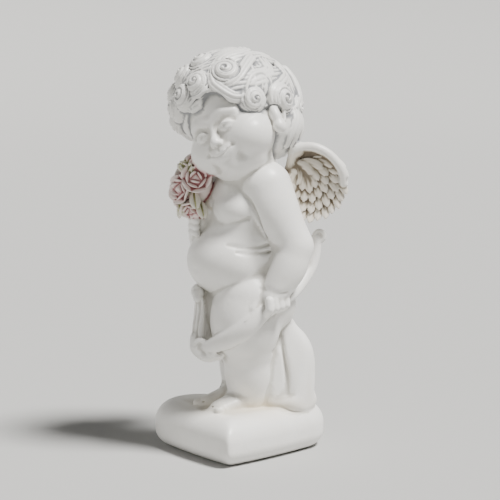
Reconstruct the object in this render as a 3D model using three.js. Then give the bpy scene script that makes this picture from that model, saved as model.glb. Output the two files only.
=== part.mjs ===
// A garden cherub, cast in one piece with its heart-shaped plinth: a chubby winged child who stands in
// contrapposto, head leaning to the right shoulder, a posy of roses held up in the right hand, a recurve
// bow let down along the left thigh, and a cloth that falls behind the legs to the plinth.
//
// The figure is modelled as clay: each lump is a signed distance, lumps are pressed together with a
// fillet, creases are pressed in, and the finished surface is taken off as one closed skin.
// Units are millimetres. +Z is up, the figure looks along -Y and its left side is +X. The origin is the
// middle of the plinth's flat underside.
import * as THREE from "three";

const deg = THREE.MathUtils.degToRad;
const lerp = THREE.MathUtils.lerp;
const vec = (p) => (p.isVector3 ? p.clone() : new THREE.Vector3(...p));

// ---- Driving dimensions -------------------------------------------------------------------------

const PLINTH = {
  height: 27.5,
  lobeRadius: 28, // the two round lobes of the heart
  lobeSpread: 24.5, // how far each lobe's middle is from the heart's middle line
  lobeBack: 13.5, // how far behind the origin the lobes' middles are
  tipReach: 59.5, // from the origin to the point of the heart
  topRoll: 13.5, // radius of the rolled upper edge
  bottomRoll: 10,
  turn: deg(50), // the point is turned this far to the figure's left
};
const GROUND = PLINTH.height - 1; // the feet and the cloth sink this little into the plinth's top

const HEAD = {
  centre: [1.5, -2.5, 196], // between the ears, level with the eyes
  yaw: deg(24), // turned to the figure's left
  pitch: deg(-3), // chin a little up
  lean: deg(-27), // the crown leans to the figure's right
  cap: [34.5, 41, 35], // half width, half depth and half height of the hair's mass
  capMiddle: [-1, 13, 15.5],
};

const WING = {
  root: [12, 25, 164], // the left wing's root on the shoulder blade; the right one mirrors it
  hub: [15.6, 1], // the middle of the fan, out from the root and above it
  fan: 23.5, // radius of the fan
  sweep: deg(38), // out from straight behind
};

const BOW = [
  // stations along the bow, from the tip behind the elbow to the tip between the thighs: x, y, z, radius
  [24.5, 41.5, 132, 2],
  [26, 41, 124, 2.8],
  [26.5, 36, 112, 3.6],
  [30, 22.5, 100.5, 3.8],
  [34, 9, 95, 3.8],
  [32.5, -3, 90, 5.4],
  [27, -13, 80, 6.6],
  [18, -20, 72.5, 6],
  [8, -24, 67.5, 4.4],
  [1, -26, 65.5, 3],
];

const POSY = [-15, -19.5, 161.5]; // the middle of the roses, against the right breast and shoulder

// ---- Clay ---------------------------------------------------------------------------------------

// Every lump is { near: [x, y, z, reach], distance(x, y, z) }, where reach bounds it from its middle.

function ball(centre, halfSizes, turn = [0, 0, 0]) {
  const back = new THREE.Matrix3().setFromMatrix4(
    new THREE.Matrix4().makeRotationFromEuler(new THREE.Euler(...turn)).transpose(),
  ).elements;
  const [cx, cy, cz] = centre;
  const [a, b, c] = halfSizes;
  return {
    near: [cx, cy, cz, Math.max(a, b, c)],
    distance(x, y, z) {
      const [u, v, w] = [x - cx, y - cy, z - cz];
      const p = back[0] * u + back[3] * v + back[6] * w;
      const q = back[1] * u + back[4] * v + back[7] * w;
      const r = back[2] * u + back[5] * v + back[8] * w;
      const [pa, qb, rc] = [p / a, q / b, r / c];
      const one = Math.sqrt(pa * pa + qb * qb + rc * rc);
      const two = Math.sqrt((pa * pa) / (a * a) + (qb * qb) / (b * b) + (rc * rc) / (c * c));
      return two < 1e-9 ? -Math.min(a, b, c) : (one * (one - 1)) / two;
    },
  };
}

// A roll of clay through stations [x, y, z, radius], optionally flattened across the direction `flat`.
function strand(stations, { smooth = 0, flat = null, squash = 1 } = {}) {
  let path = stations;
  if (smooth > 0) {
    const curve = new THREE.CatmullRomCurve3(stations.map((s) => new THREE.Vector3(...s)));
    const radii = new THREE.CatmullRomCurve3(stations.map((s) => new THREE.Vector3(s[3], 0, 0)));
    path = [];
    for (let i = 0; i <= smooth; i++) {
      const p = curve.getPoint(i / smooth);
      path.push([p.x, p.y, p.z, radii.getPoint(i / smooth).x]);
    }
  }
  const middle = new THREE.Vector3();
  for (const s of path) middle.add(new THREE.Vector3(...s));
  middle.divideScalar(path.length);
  const reach = Math.max(...path.map((s) => middle.distanceTo(new THREE.Vector3(...s)) + s[3]));
  const n = flat ? vec(flat).normalize() : null;
  const count = path.length - 1;
  return {
    near: [middle.x, middle.y, middle.z, reach],
    distance(x, y, z) {
      let best = Infinity;
      for (let i = 0; i < count; i++) {
        const s = path[i];
        const e = path[i + 1];
        const [dx, dy, dz] = [e[0] - s[0], e[1] - s[1], e[2] - s[2]];
        const [px, py, pz] = [x - s[0], y - s[1], z - s[2]];
        let t = (px * dx + py * dy + pz * dz) / (dx * dx + dy * dy + dz * dz + 1e-12);
        t = t < 0 ? 0 : t > 1 ? 1 : t;
        let [qx, qy, qz] = [px - t * dx, py - t * dy, pz - t * dz];
        if (n) {
          const off = (qx * n.x + qy * n.y + qz * n.z) * (1 / squash - 1);
          qx += off * n.x;
          qy += off * n.y;
          qz += off * n.z;
        }
        const d = Math.sqrt(qx * qx + qy * qy + qz * qz) - (s[3] + (e[3] - s[3]) * t);
        if (d < best) best = d;
      }
      return n ? best * Math.max(squash, 0.5) : best;
    },
  };
}

// Lumps pressed together one after another. Each step is [lump, fillet] or, to press a hollow in,
// [lump, fillet, "cut"].
function clay(steps) {
  const middle = new THREE.Vector3();
  const solid = steps.filter((step) => step[2] !== "cut");
  for (const [lump] of solid) middle.add(new THREE.Vector3(...lump.near.slice(0, 3)));
  middle.divideScalar(solid.length);
  const reach = Math.max(...solid.map(([l]) => middle.distanceTo(new THREE.Vector3(...l.near.slice(0, 3))) + l.near[3]));
  return {
    near: [middle.x, middle.y, middle.z, reach],
    distance(x, y, z) {
      let d = 1e3;
      for (let i = 0; i < steps.length; i++) {
        const step = steps[i];
        const lump = step[0];
        const fillet = step[1];
        const [cx, cy, cz, r] = lump.near;
        const [ox, oy, oz] = [x - cx, y - cy, z - cz];
        const away = Math.sqrt(ox * ox + oy * oy + oz * oz) - r;
        if (step[2] === "cut") {
          if (away > fillet - d) continue;
          const other = -lump.distance(x, y, z);
          const h = Math.max(fillet - Math.abs(d - other), 0);
          d = Math.max(d, other) + (h * h) / (4 * fillet);
        } else {
          if (away > d + fillet) continue;
          if (away > 12) {
            if (away < d) d = away;
            continue;
          }
          const other = lump.distance(x, y, z);
          const h = Math.max(fillet - Math.abs(d - other), 0);
          d = Math.min(d, other) - (h * h) / (4 * fillet);
        }
      }
      return d;
    },
  };
}

// The same clay somewhere else: `matrix` takes the lump's own space to the figure's.
function moved(lump, matrix) {
  const back = matrix.clone().invert().elements;
  const middle = new THREE.Vector3(...lump.near.slice(0, 3)).applyMatrix4(matrix);
  return {
    near: [middle.x, middle.y, middle.z, lump.near[3]],
    distance(x, y, z) {
      return lump.distance(
        back[0] * x + back[4] * y + back[8] * z + back[12],
        back[1] * x + back[5] * y + back[9] * z + back[13],
        back[2] * x + back[6] * y + back[10] * z + back[14],
      );
    },
  };
}

// Stations of a spiral about `centre`, seen along `axis`, that winds in and rises as it goes. On a ball
// of radius `dome` about the centre it keeps to the ball's surface.
function spiral(centre, axis, { radius, turns, thickness, start = 0, hand = 1, rise = 0.8, inner = 0.2, dome = 0 }) {
  const normal = vec(axis).normalize();
  const east = Math.abs(normal.z) < 0.9 ? new THREE.Vector3(0, 0, 1) : new THREE.Vector3(0, -1, 0);
  const north = new THREE.Vector3().crossVectors(normal, east).normalize();
  east.crossVectors(north, normal);
  const stations = [];
  const count = Math.round(9 * turns);
  for (let i = 0; i <= count; i++) {
    const share = i / count;
    const angle = start + hand * share * turns * 2 * Math.PI;
    const out = radius * lerp(1, inner, share);
    const p = vec(centre)
      .addScaledVector(east, Math.cos(angle) * out)
      .addScaledVector(north, Math.sin(angle) * out)
      .addScaledVector(normal, dome > 0 ? Math.sqrt(dome * dome - out * out) : share * thickness * rise);
    stations.push([p.x, p.y, p.z, thickness * lerp(1, 0.8, share)]);
  }
  return stations;
}

// ---- The heart-shaped plinth --------------------------------------------------------------------

// Distance in plan to the heart's outline, negative inside. In the heart's own plan the point lies
// along -v, and the two halves mirror each other.
function heartPlan(x, y) {
  const { lobeRadius, lobeSpread, lobeBack, tipReach, turn } = PLINTH;
  const [c, s] = [Math.cos(turn), Math.sin(turn)];
  const u = Math.abs(c * x + s * y);
  const v = -s * x + c * y;
  // The straight side touches the lobe; it swells a little on its way to the point.
  const reach = Math.hypot(lobeSpread, tipReach + lobeBack);
  const lean = Math.asin(lobeRadius / reach) + Math.atan2(lobeSpread, tipReach + lobeBack);
  const [nx, ny] = [Math.cos(lean), -Math.sin(lean)];
  const along = -ny * u + nx * (v + tipReach);
  const length = Math.sqrt(reach * reach - lobeRadius * lobeRadius);
  const swell = 1.6 * Math.sin(Math.PI * Math.min(Math.max(along / length, 0), 1));
  if (along < length && (v < lobeBack || u > lobeSpread)) return nx * u + ny * (v + tipReach) - swell;
  return Math.hypot(u - lobeSpread, v - lobeBack) - lobeRadius;
}

const plinth = {
  near: [0, 0, 14, 66],
  distance(x, y, z) {
    const { height, topRoll, bottomRoll } = PLINTH;
    const roll = z > height / 2 ? topRoll : bottomRoll;
    const [a, b] = [heartPlan(x, y) + roll, Math.abs(z - height / 2) - height / 2 + roll];
    return Math.min(Math.max(a, b), 0) + Math.hypot(Math.max(a, 0), Math.max(b, 0)) - roll;
  },
};

// ---- Legs and feet ------------------------------------------------------------------------------

function foot(heel, toeLine, side) {
  const ahead = vec([toeLine[0] - heel[0], toeLine[1] - heel[1], 0]).normalize();
  const across = new THREE.Vector3(-ahead.y, ahead.x, 0).multiplyScalar(side);
  const steps = [
    [ball([heel[0], heel[1] + 1, GROUND + 8], [11, 12, 10]), 3],
    [
      strand(
        [
          [heel[0], heel[1] - 3, GROUND + 6.5, 9],
          [lerp(heel[0], toeLine[0], 0.6), lerp(heel[1], toeLine[1], 0.6), GROUND + 4.2, 8],
          [toeLine[0], toeLine[1], GROUND + 2.6, 7],
        ],
        { flat: [0, 0, 1], squash: 0.72 },
      ),
      4,
    ],
  ];
  for (let i = 0; i < 5; i++) {
    // The big toe is innermost; the others shrink and step back.
    const radius = 2.9 - 0.34 * i;
    const spot = vec(toeLine).addScaledVector(across, 5 - 2.8 * i).addScaledVector(ahead, 5.4 - 0.45 * i * i * 0.8);
    steps.push([ball([spot.x, spot.y, GROUND + radius * 0.85], [radius, radius * 1.15, radius]), 0.8]);
  }
  return clay(steps);
}

const leftLeg = clay([
  [strand([[11.5, 0, 94, 20.5], [12, -2, 80, 21.5], [11.5, -1, 67, 17]], { smooth: 6 }), 6],
  [strand([[11.5, -0.5, 60, 14], [10.5, 0.5, 48, 14], [8.5, 2.5, 36, 11.6]], { smooth: 6 }), 3.5],
  [foot([8, 3, 0], [11, -19.5, 0], 1), 3],
  [strand([[22, 12, 62, 1.2], [12, 16, 60.5, 1.6], [0, 13, 61, 1.2]], { smooth: 6 }), 3, "cut"],
]);

const rightLeg = clay([
  [strand([[-11, 5, 94, 19.5], [-10.5, 4, 80, 19.5], [-9.5, 6.5, 67, 15.5]], { smooth: 6 }), 6],
  [strand([[-9, 8, 60, 13.5], [-9, 9, 48, 13], [-9, 9.5, 36, 11.5]], { smooth: 6 }), 3.5],
  [foot([-9, 8.5, 0], [-6.5, -15.5, 0], -1), 3],
]);

// ---- Body ---------------------------------------------------------------------------------------

const torso = clay([
  [ball([0, 3, 134], [26, 20.5, 14]), 6],
  [ball([1, 2, 149], [26, 20, 20]), 8], // rib cage
  [ball([0, 11, 160], [24, 12, 14]), 8], // shoulder blades
  [ball([-1.5, -4.5, 116.5], [27.5, 25.5, 22], [-0.1, 0, 0]), 9], // belly
  [ball([20, 6, 124], [10, 10, 15]), 5], // the flank beside the arm
  [ball([11.5, -10.5, 149.5], [11.5, 8.6, 8.8], [0, 0, 0.5]), 2.6], // breasts
  [ball([-10, -10.5, 149.5], [11.5, 8.6, 8.8], [0, 0, -0.5]), 2.6],
  [strand([[2, 6, 160, 18], [2.5, 3, 172, 15.5], [2, 3, 184, 15]]), 8], // neck
  [ball([-1.5, -31.5, 112.5], [2, 2.4, 1.8]), 2, "cut"], // navel
  [strand([[8, -24, 127.5, 0.5], [18, -18.5, 126, 1.3], [27, -7, 126, 1.3]], { smooth: 6 }), 2.4, "cut"], // waist crease
]);

const body = clay([
  [ball([0, 7, 95], [28, 22, 17]), 4], // hips
  [ball([13, 6, 95], [19.5, 20, 18]), 5],
  [ball([-12.5, 8, 95], [18.5, 19, 17]), 5],
  [ball([13, 14, 90], [16.5, 17, 17]), 4], // buttocks
  [ball([-12, 16, 90], [16, 16, 16.5]), 2.5],
  [torso, 2.5],
]);

// ---- Left arm, and the bow ----------------------------------------------------------------------

const leftArm = clay([
  [strand([[19, 7.5, 162.5, 16], [23.5, 9.5, 151, 15.6], [29.5, 14, 138, 13], [34.5, 18, 128, 11.4]], { smooth: 6 }), 2],
  [strand([[34.5, 17.5, 126, 11.2], [35, 13, 115, 11], [33.5, 7, 104, 9]], { smooth: 5 }), 2.6],
  [strand([[25, 5, 132, 1], [26, 9, 127, 1.4], [30, 12, 124, 0.8]]), 2, "cut"], // crook of the elbow
]);

function leftFist() {
  const steps = [[ball([33, 4.5, 98], [7.6, 9, 7.8], [0.35, 0, 0]), 1.5]];
  for (let i = 0; i < 4; i++) {
    // Four fingers side by side over the bow.
    const back = -4.5 + 4 * i;
    const low = 1 - 0.06 * Math.abs(i - 1.2);
    steps.push([
      strand([[38, back + 1.5, 96.5, 2.6], [39.3, back + 1, 91.5 + i * 0.6, 2.5], [36, back + 0.6, 87.6 + i * 0.9 + low, 2.3]]),
      0.7,
    ]);
  }
  // The thumb reaches forwards along the bow.
  steps.push([strand([[31, 0.5, 99, 3.3], [29.5, -5.5, 95, 2.8], [29.8, -9, 91.5, 2.3]]), 1.2]);
  return clay(steps);
}

function bow() {
  const outward = [0.82, -0.45, 0.3];
  return clay([
    [strand(BOW, { smooth: 22, flat: outward, squash: 0.75 }), 1],
    [strand(spiral([25.5, 43, 131.5], [0.82, -0.57, 0], { radius: 4, turns: 1.4, thickness: 1.9, start: 2 })), 1],
    [strand(spiral([1, -27, 66], [0.5, -0.85, 0], { radius: 4, turns: 1.4, thickness: 1.9, start: 1, hand: -1 })), 1],
  ]);
}

// ---- Right arm, and the posy --------------------------------------------------------------------

const rightArm = clay([
  [strand([[-20, 7, 163, 13.5], [-25.5, 7, 148, 12.6], [-30.5, 6, 132, 11], [-32, 3, 123, 10]], { smooth: 6 }), 3],
  [strand([[-32, 2, 123, 10], [-25, -8, 129, 9], [-14.5, -14.5, 136, 7.4]], { smooth: 5 }), 2.4],
]);

function rightFist() {
  const steps = [[ball([-12.5, -17, 140], [7, 6.5, 8]), 1.2]];
  for (let i = 0; i < 4; i++) {
    // Four fingers close round the stems.
    const height = 146 - 3.7 * i;
    steps.push([
      strand([[-18, -17.5, height, 2.5], [-15.5, -22.8, height - 0.2, 2.4], [-8.5, -24, height - 0.8, 2.2]]),
      0.6,
    ]);
  }
  return clay(steps);
}

// A rose: a bud scored by a spiral, in a ring of turned-back petals.
function rose(centre, facing, radius) {
  const axis = vec(facing).normalize();
  const side = new THREE.Vector3(0, 0, 1).cross(axis).normalize();
  const up = axis.clone().cross(side);
  const bud = radius * 0.72;
  const steps = [[ball(centre, [bud, bud, bud]), 0.6]];
  for (let i = 0; i < 5; i++) {
    const angle = (2 * Math.PI * i) / 5 + radius;
    const spot = vec(centre)
      .addScaledVector(side, Math.cos(angle) * radius * 0.62)
      .addScaledVector(up, Math.sin(angle) * radius * 0.62);
    steps.push([ball(spot.toArray(), [radius * 0.46, radius * 0.46, radius * 0.46]), 0.5]);
  }
  const scoring = { radius: bud * 0.8, turns: 1.7, thickness: radius * 0.12, start: radius, inner: 0.15, dome: bud };
  steps.push([strand(spiral(centre, axis, scoring)), 0.4, "cut"]);
  return clay(steps);
}

const ROSES = [
  // [offset from the posy's middle], [the way it looks], radius
  [[9, -6, 6], [0.75, -0.6, 0.25], 8.6],
  [[-1, -10, -1], [0.1, -1, 0.05], 8.4],
  [[-9.5, -3, 5], [-0.8, -0.5, 0.3], 7.6],
  [[0, -2, 14], [0.1, -0.6, 0.8], 7.4],
  [[-8, -4, -11], [-0.6, -0.6, -0.5], 7.6],
  [[4, -6, -13], [0.5, -0.6, -0.6], 6.8],
  [[-9, 5, -4], [-1, 0.1, 0], 7.6],
];

function posy() {
  const [x, y, z] = POSY;
  const steps = [[ball([x - 1, y + 2, z], [11, 8, 15]), 2]];
  for (const [offset, facing, radius] of ROSES)
    steps.push([rose([x + offset[0], y + offset[1], z + offset[2]], facing, radius), 0.6]);
  steps.push([strand([[x, y, z - 14, 5], [-12, -18.5, 138, 4.4], [-11, -19.5, 128, 2.6]]), 1.5]);
  return clay(steps);
}

// ---- The cloth ----------------------------------------------------------------------------------

function cloth() {
  const steps = [[strand([[0, 19, 88, 14], [1, 20, 62, 17], [2, 21, 42, 21], [2, 21, 31, 22.5]]), 3]];
  const count = 7;
  for (let i = 0; i < count; i++) {
    // The folds gather under the buttocks and fan out to the plinth.
    const fan = lerp(-1.7, 1.45, i / (count - 1));
    const swell = i % 2 ? 0.9 : 1.05;
    const out = (reach, side) => [side * swell * Math.sin(fan), reach * swell * Math.cos(fan)];
    const station = (reach, side, y, z, radius) => [2 + out(reach, side)[0], y + out(reach, side)[1], z, radius];
    steps.push([
      strand(
        [station(6, 10, 17.5, 85, 3.6), station(14, 17, 20, 66, 5.6), station(21, 23.5, 20.5, 47, 6.6), station(24, 25.5, 21, GROUND + 4, 7)],
        { smooth: 7 },
      ),
      1.6,
    ]);
  }
  // The end that comes round the right hip and hangs in front of the thighs to the bow's tip.
  steps.push(
    [strand([[-27, 4, 98, 5], [-20, -14, 97, 4.6], [-9, -21, 96, 4.2], [-4, -21.5, 93, 3]], { smooth: 6 }), 2],
    [strand([[-9, -20, 94, 3.6], [-9, -19.5, 82, 5], [-5, -22, 70, 5.6], [-3, -23, 62, 5]], { smooth: 6 }), 1.6],
    [strand([[-15, -16, 95, 4], [-15, -14.5, 80, 6], [-11, -16, 66, 5.6]], { smooth: 6 }), 1.6],
    [strand([[-22, -8, 96, 4.5], [-20, -6, 80, 6.5], [-15, -6, 67, 6]], { smooth: 6 }), 1.6],
    [strand([[-27, 6, 96, 5], [-26, 14, 78, 6], [-22, 22, 56, 6], [-20, 28, 34, 6]], { smooth: 6 }), 1.8],
    // Its hem keeps to the heart's plan.
    [{ near: [0, 0, 0, 200], distance: (x, y) => -heartPlan(x, y) - 3 }, 3, "cut"],
  );
  return clay(steps);
}

// ---- Wings --------------------------------------------------------------------------------------

// The wing in its own space: x runs out from the root, z up, and the cupped face looks along -y.
function wing() {
  const [hubX, hubZ] = WING.hub;
  const { fan } = WING;
  // The fan is dished: its rim comes forward.
  const dish = (reach) => 3 - 6.5 * (reach / fan) ** 2;
  const onFan = (angle, reach, lift, radius) => [
    hubX + reach * Math.cos(angle),
    dish(reach) - lift,
    hubZ + reach * Math.sin(angle),
    radius,
  ];
  const plate = [];
  for (let angle = deg(100); angle > deg(-110); angle -= deg(30))
    plate.push([strand([onFan(angle, 4, -1.5, 8), onFan(angle, fan * 0.72, -0.8, 7)], { flat: [0, 1, 0], squash: 0.28 }), 2]);
  const steps = [
    [strand([[-5, 1, -8, 7], [3, 1.5, -2, 7.5], [7, 1, 6, 5]], {}), 3],
    ...plate,
    [
      strand(
        [
          [0, 0.5, 0, 5],
          onFan(deg(150), 12, 0.5, 4.4),
          onFan(deg(112), 19, 1, 3.8),
          onFan(deg(82), 20.5, 1.4, 3.5),
          onFan(deg(50), 20, 1.4, 3.4),
          onFan(deg(18), 21, 1, 3.2),
          onFan(deg(-4), 21, 0.5, 2.6),
        ],
        { smooth: 12 },
      ),
      1.5,
    ],
  ];
  const rows = [
    // [how many feathers, tips' reach as a share of the fan, roots' reach, half width, how far forward, first, last]
    [9, 0.94, 0.45, 3.6, 0.8, -4, -112],
    [8, 0.68, 0.22, 3.1, 2.2, 20, -118],
    [7, 0.42, 0.02, 2.7, 3.4, 60, -125],
    [6, 0.62, 0.3, 2.3, 3, 100, 22],
  ];
  for (const [count, reach, rootReach, halfWidth, forward, first, last] of rows) {
    for (let i = 0; i < count; i++) {
      const angle = deg(lerp(first, last, i / (count - 1)));
      const curve = deg(first > last ? -7 : 7); // the tips sweep down
      steps.push([
        strand(
          [
            onFan(angle - curve, fan * rootReach, forward, halfWidth * 0.7),
            onFan(angle, fan * lerp(rootReach, reach, 0.6), forward + 0.7, halfWidth),
            onFan(angle + curve, fan * reach, forward - 0.4, halfWidth * 0.72),
          ],
          { smooth: 4, flat: [0, 1, 0], squash: 0.45 },
        ),
        0.5,
      ]);
    }
  }
  return clay(steps);
}

function wings() {
  const made = wing();
  const { root, sweep } = WING;
  const out = new THREE.Vector3(Math.sin(sweep), Math.cos(sweep), 0);
  const back = new THREE.Vector3(-Math.cos(sweep), Math.sin(sweep), 0);
  const matrix = new THREE.Matrix4().makeBasis(out, back, new THREE.Vector3(0, 0, 1)).setPosition(...root);
  const mirrored = new THREE.Matrix4().makeScale(-1, 1, 1).multiply(matrix);
  return [moved(made, matrix), moved(made, mirrored)];
}

// ---- Head ---------------------------------------------------------------------------------------

// Curls on the hair's mass: azimuth from the face towards the left ear and elevation, in degrees.
const CURLS = [
  // [azimuth, elevation, radius, hand]
  [30, 30, 11, -1],
  [0, 29, 8.5, 1],
  [-19, 23, 9, 1],
  [45, -10, 8.5, 1],
  [70, -18, 10, -1],
  [108, -22, 13, 1],
  [52, -29, 5, -1],
  [-38, 15, 9.5, -1],
  [-58, 5, 9.5, 1],
  [-80, 4, 9, -1],
  [-26, 50, 10, -1],
  [-55, 32, 10, 1],
  [-84, 26, 9.5, 1],
  [14, 52, 9, 1],
];

function curl(azimuth, elevation, radius, hand) {
  const [a, e] = [deg(azimuth), deg(elevation)];
  const way = [Math.sin(a) * Math.cos(e), -Math.cos(a) * Math.cos(e), Math.sin(e)];
  const spot = new THREE.Vector3(...way.map((w, i) => w * HEAD.cap[i]));
  const normal = new THREE.Vector3(...spot.toArray().map((p, i) => p / HEAD.cap[i] ** 2)).normalize();
  spot.add(vec(HEAD.capMiddle)).addScaledVector(normal, -0.55 * radius);
  const groove = spiral(spot.toArray(), normal, {
    radius: radius * 0.8,
    turns: 1.7,
    thickness: radius * 0.13,
    start: azimuth,
    hand,
    inner: 0.15,
    dome: radius * 1.02,
  });
  return clay([
    [ball(spot.toArray(), [radius, radius, radius]), 1],
    [strand(groove), 0.4, "cut"],
  ]);
}

function head() {
  const steps = [
    [ball([0, 7, 13], [28.5, 31.5, 28]), 5], // skull
    [ball([0, -5, -8], [25.5, 20, 18]), 9], // jaw
    [ball([13, -12.5, -9.5], [12, 12, 11.5]), 5], // cheeks
    [ball([-13, -12.5, -9.5], [12, 12, 11.5]), 5],
    [ball([0, -19.5, -21.5], [6.5, 6, 5.6]), 4], // chin
    [ball([0, -8, -24], [17, 13, 7.5]), 4], // fold under the chin
  ];
  for (const side of [1, -1]) {
    steps.push(
      [ball([side * 8.8, -28, 1], [6.4, 4.6, 4.6]), 3, "cut"], // eye socket
      [ball([side * 8.6, -22, 0], [4.8, 4.6, 4]), 1], // eyeball
      [strand([[side * 4.4, -26, 2, 0.9], [side * 8.8, -27.2, 3.4, 1.1], [side * 13.4, -24, 1.2, 0.9]], { smooth: 6 }), 0.8],
      [strand([[side * 4.6, -25.8, -1.6, 0.8], [side * 8.8, -26.2, -3.6, 1], [side * 13, -23.6, -1.8, 0.8]], { smooth: 6 }), 0.8],
      [ball([side * 3, -28.4, -8.6], [2.4, 2.6, 2.1]), 1.2], // nostril wings
      [ball([side * 28, 2, -5], [3.2, 6, 8.4], [0, 0, side * 0.5]), 1.6], // ears
      [ball([side * 31.5, 0.5, -4], [2.4, 3.4, 5]), 1.5, "cut"],
      [ball([side * 10.5, -25, -15.4], [1.2, 1.6, 1.2]), 2, "cut"], // corners of the mouth
    );
  }
  steps.push(
    [strand([[0, -24.5, 3, 2.4], [0, -28.5, -4, 2.6], [0, -30, -8, 3.5]], { smooth: 5 }), 2], // nose
    [ball([0, -22, -16], [10, 6.5, 6]), 3], // muzzle
    [strand([[-7.5, -25.4, -14.3, 1.2], [-2.6, -28, -15.3, 1.8], [0, -28, -15.6, 1.6], [2.6, -28, -15.3, 1.8], [7.5, -25.4, -14.3, 1.2]], { smooth: 8 }), 1],
    [strand([[-5.5, -25.6, -17.6, 1.2], [0, -27.4, -19, 2.1], [5.5, -25.6, -17.6, 1.2]], { smooth: 6 }), 1],
    [strand([[-9, -26.4, -14.4, 0.5], [-4, -29.4, -16.6, 0.7], [0, -30, -17, 0.7], [4, -29.4, -16.6, 0.7], [9, -26.4, -14.4, 0.5]], { smooth: 8 }), 0.8, "cut"],
  );
  // Hair: a mass over the skull, cut back to the hairline, with curls round it.
  const mass = clay([
    [ball(HEAD.capMiddle, HEAD.cap), 1],
    [ball([0, 10, -4], [30, 28, 20]), 8],
    [ball([0, -31, -9], [27.5, 33, 30]), 4, "cut"],
    [ball([0, -4, -39], [60, 44, 29]), 4, "cut"],
    [ball([29, -3, -9], [9, 11, 12]), 3, "cut"], // the ears lie free
    [ball([-29, -3, -9], [9, 11, 12]), 3, "cut"],
    [ball([-35, -13, -15], [15, 22, 16]), 3, "cut"], // and the right temple
  ]);
  steps.push([mass, 2]);
  for (const it of CURLS) steps.push([curl(...it), 1.2]);
  const rows = [
    // [elevation, first azimuth, last azimuth, how many, radius]
    [66, -80, 235, 7, 11],
    [34, 96, 250, 5, 12],
    [4, 104, 258, 6, 11],
    [-26, 128, 250, 5, 11],
    [-50, 118, 240, 5, 9],
  ];
  for (const [elevation, first, last, count, radius] of rows)
    for (let i = 0; i < count; i++)
      steps.push([curl(lerp(first, last, i / (count - 1)), elevation, radius, i % 2 ? 1 : -1), 1.2]);
  const { pitch, lean, yaw, centre } = HEAD;
  const pose = new THREE.Matrix4()
    .makeRotationZ(yaw)
    .multiply(new THREE.Matrix4().makeRotationX(pitch))
    .multiply(new THREE.Matrix4().makeRotationY(lean))
    .setPosition(...centre);
  return moved(clay(steps), pose);
}

// ---- Taking the skin off the clay ---------------------------------------------------------------

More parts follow.
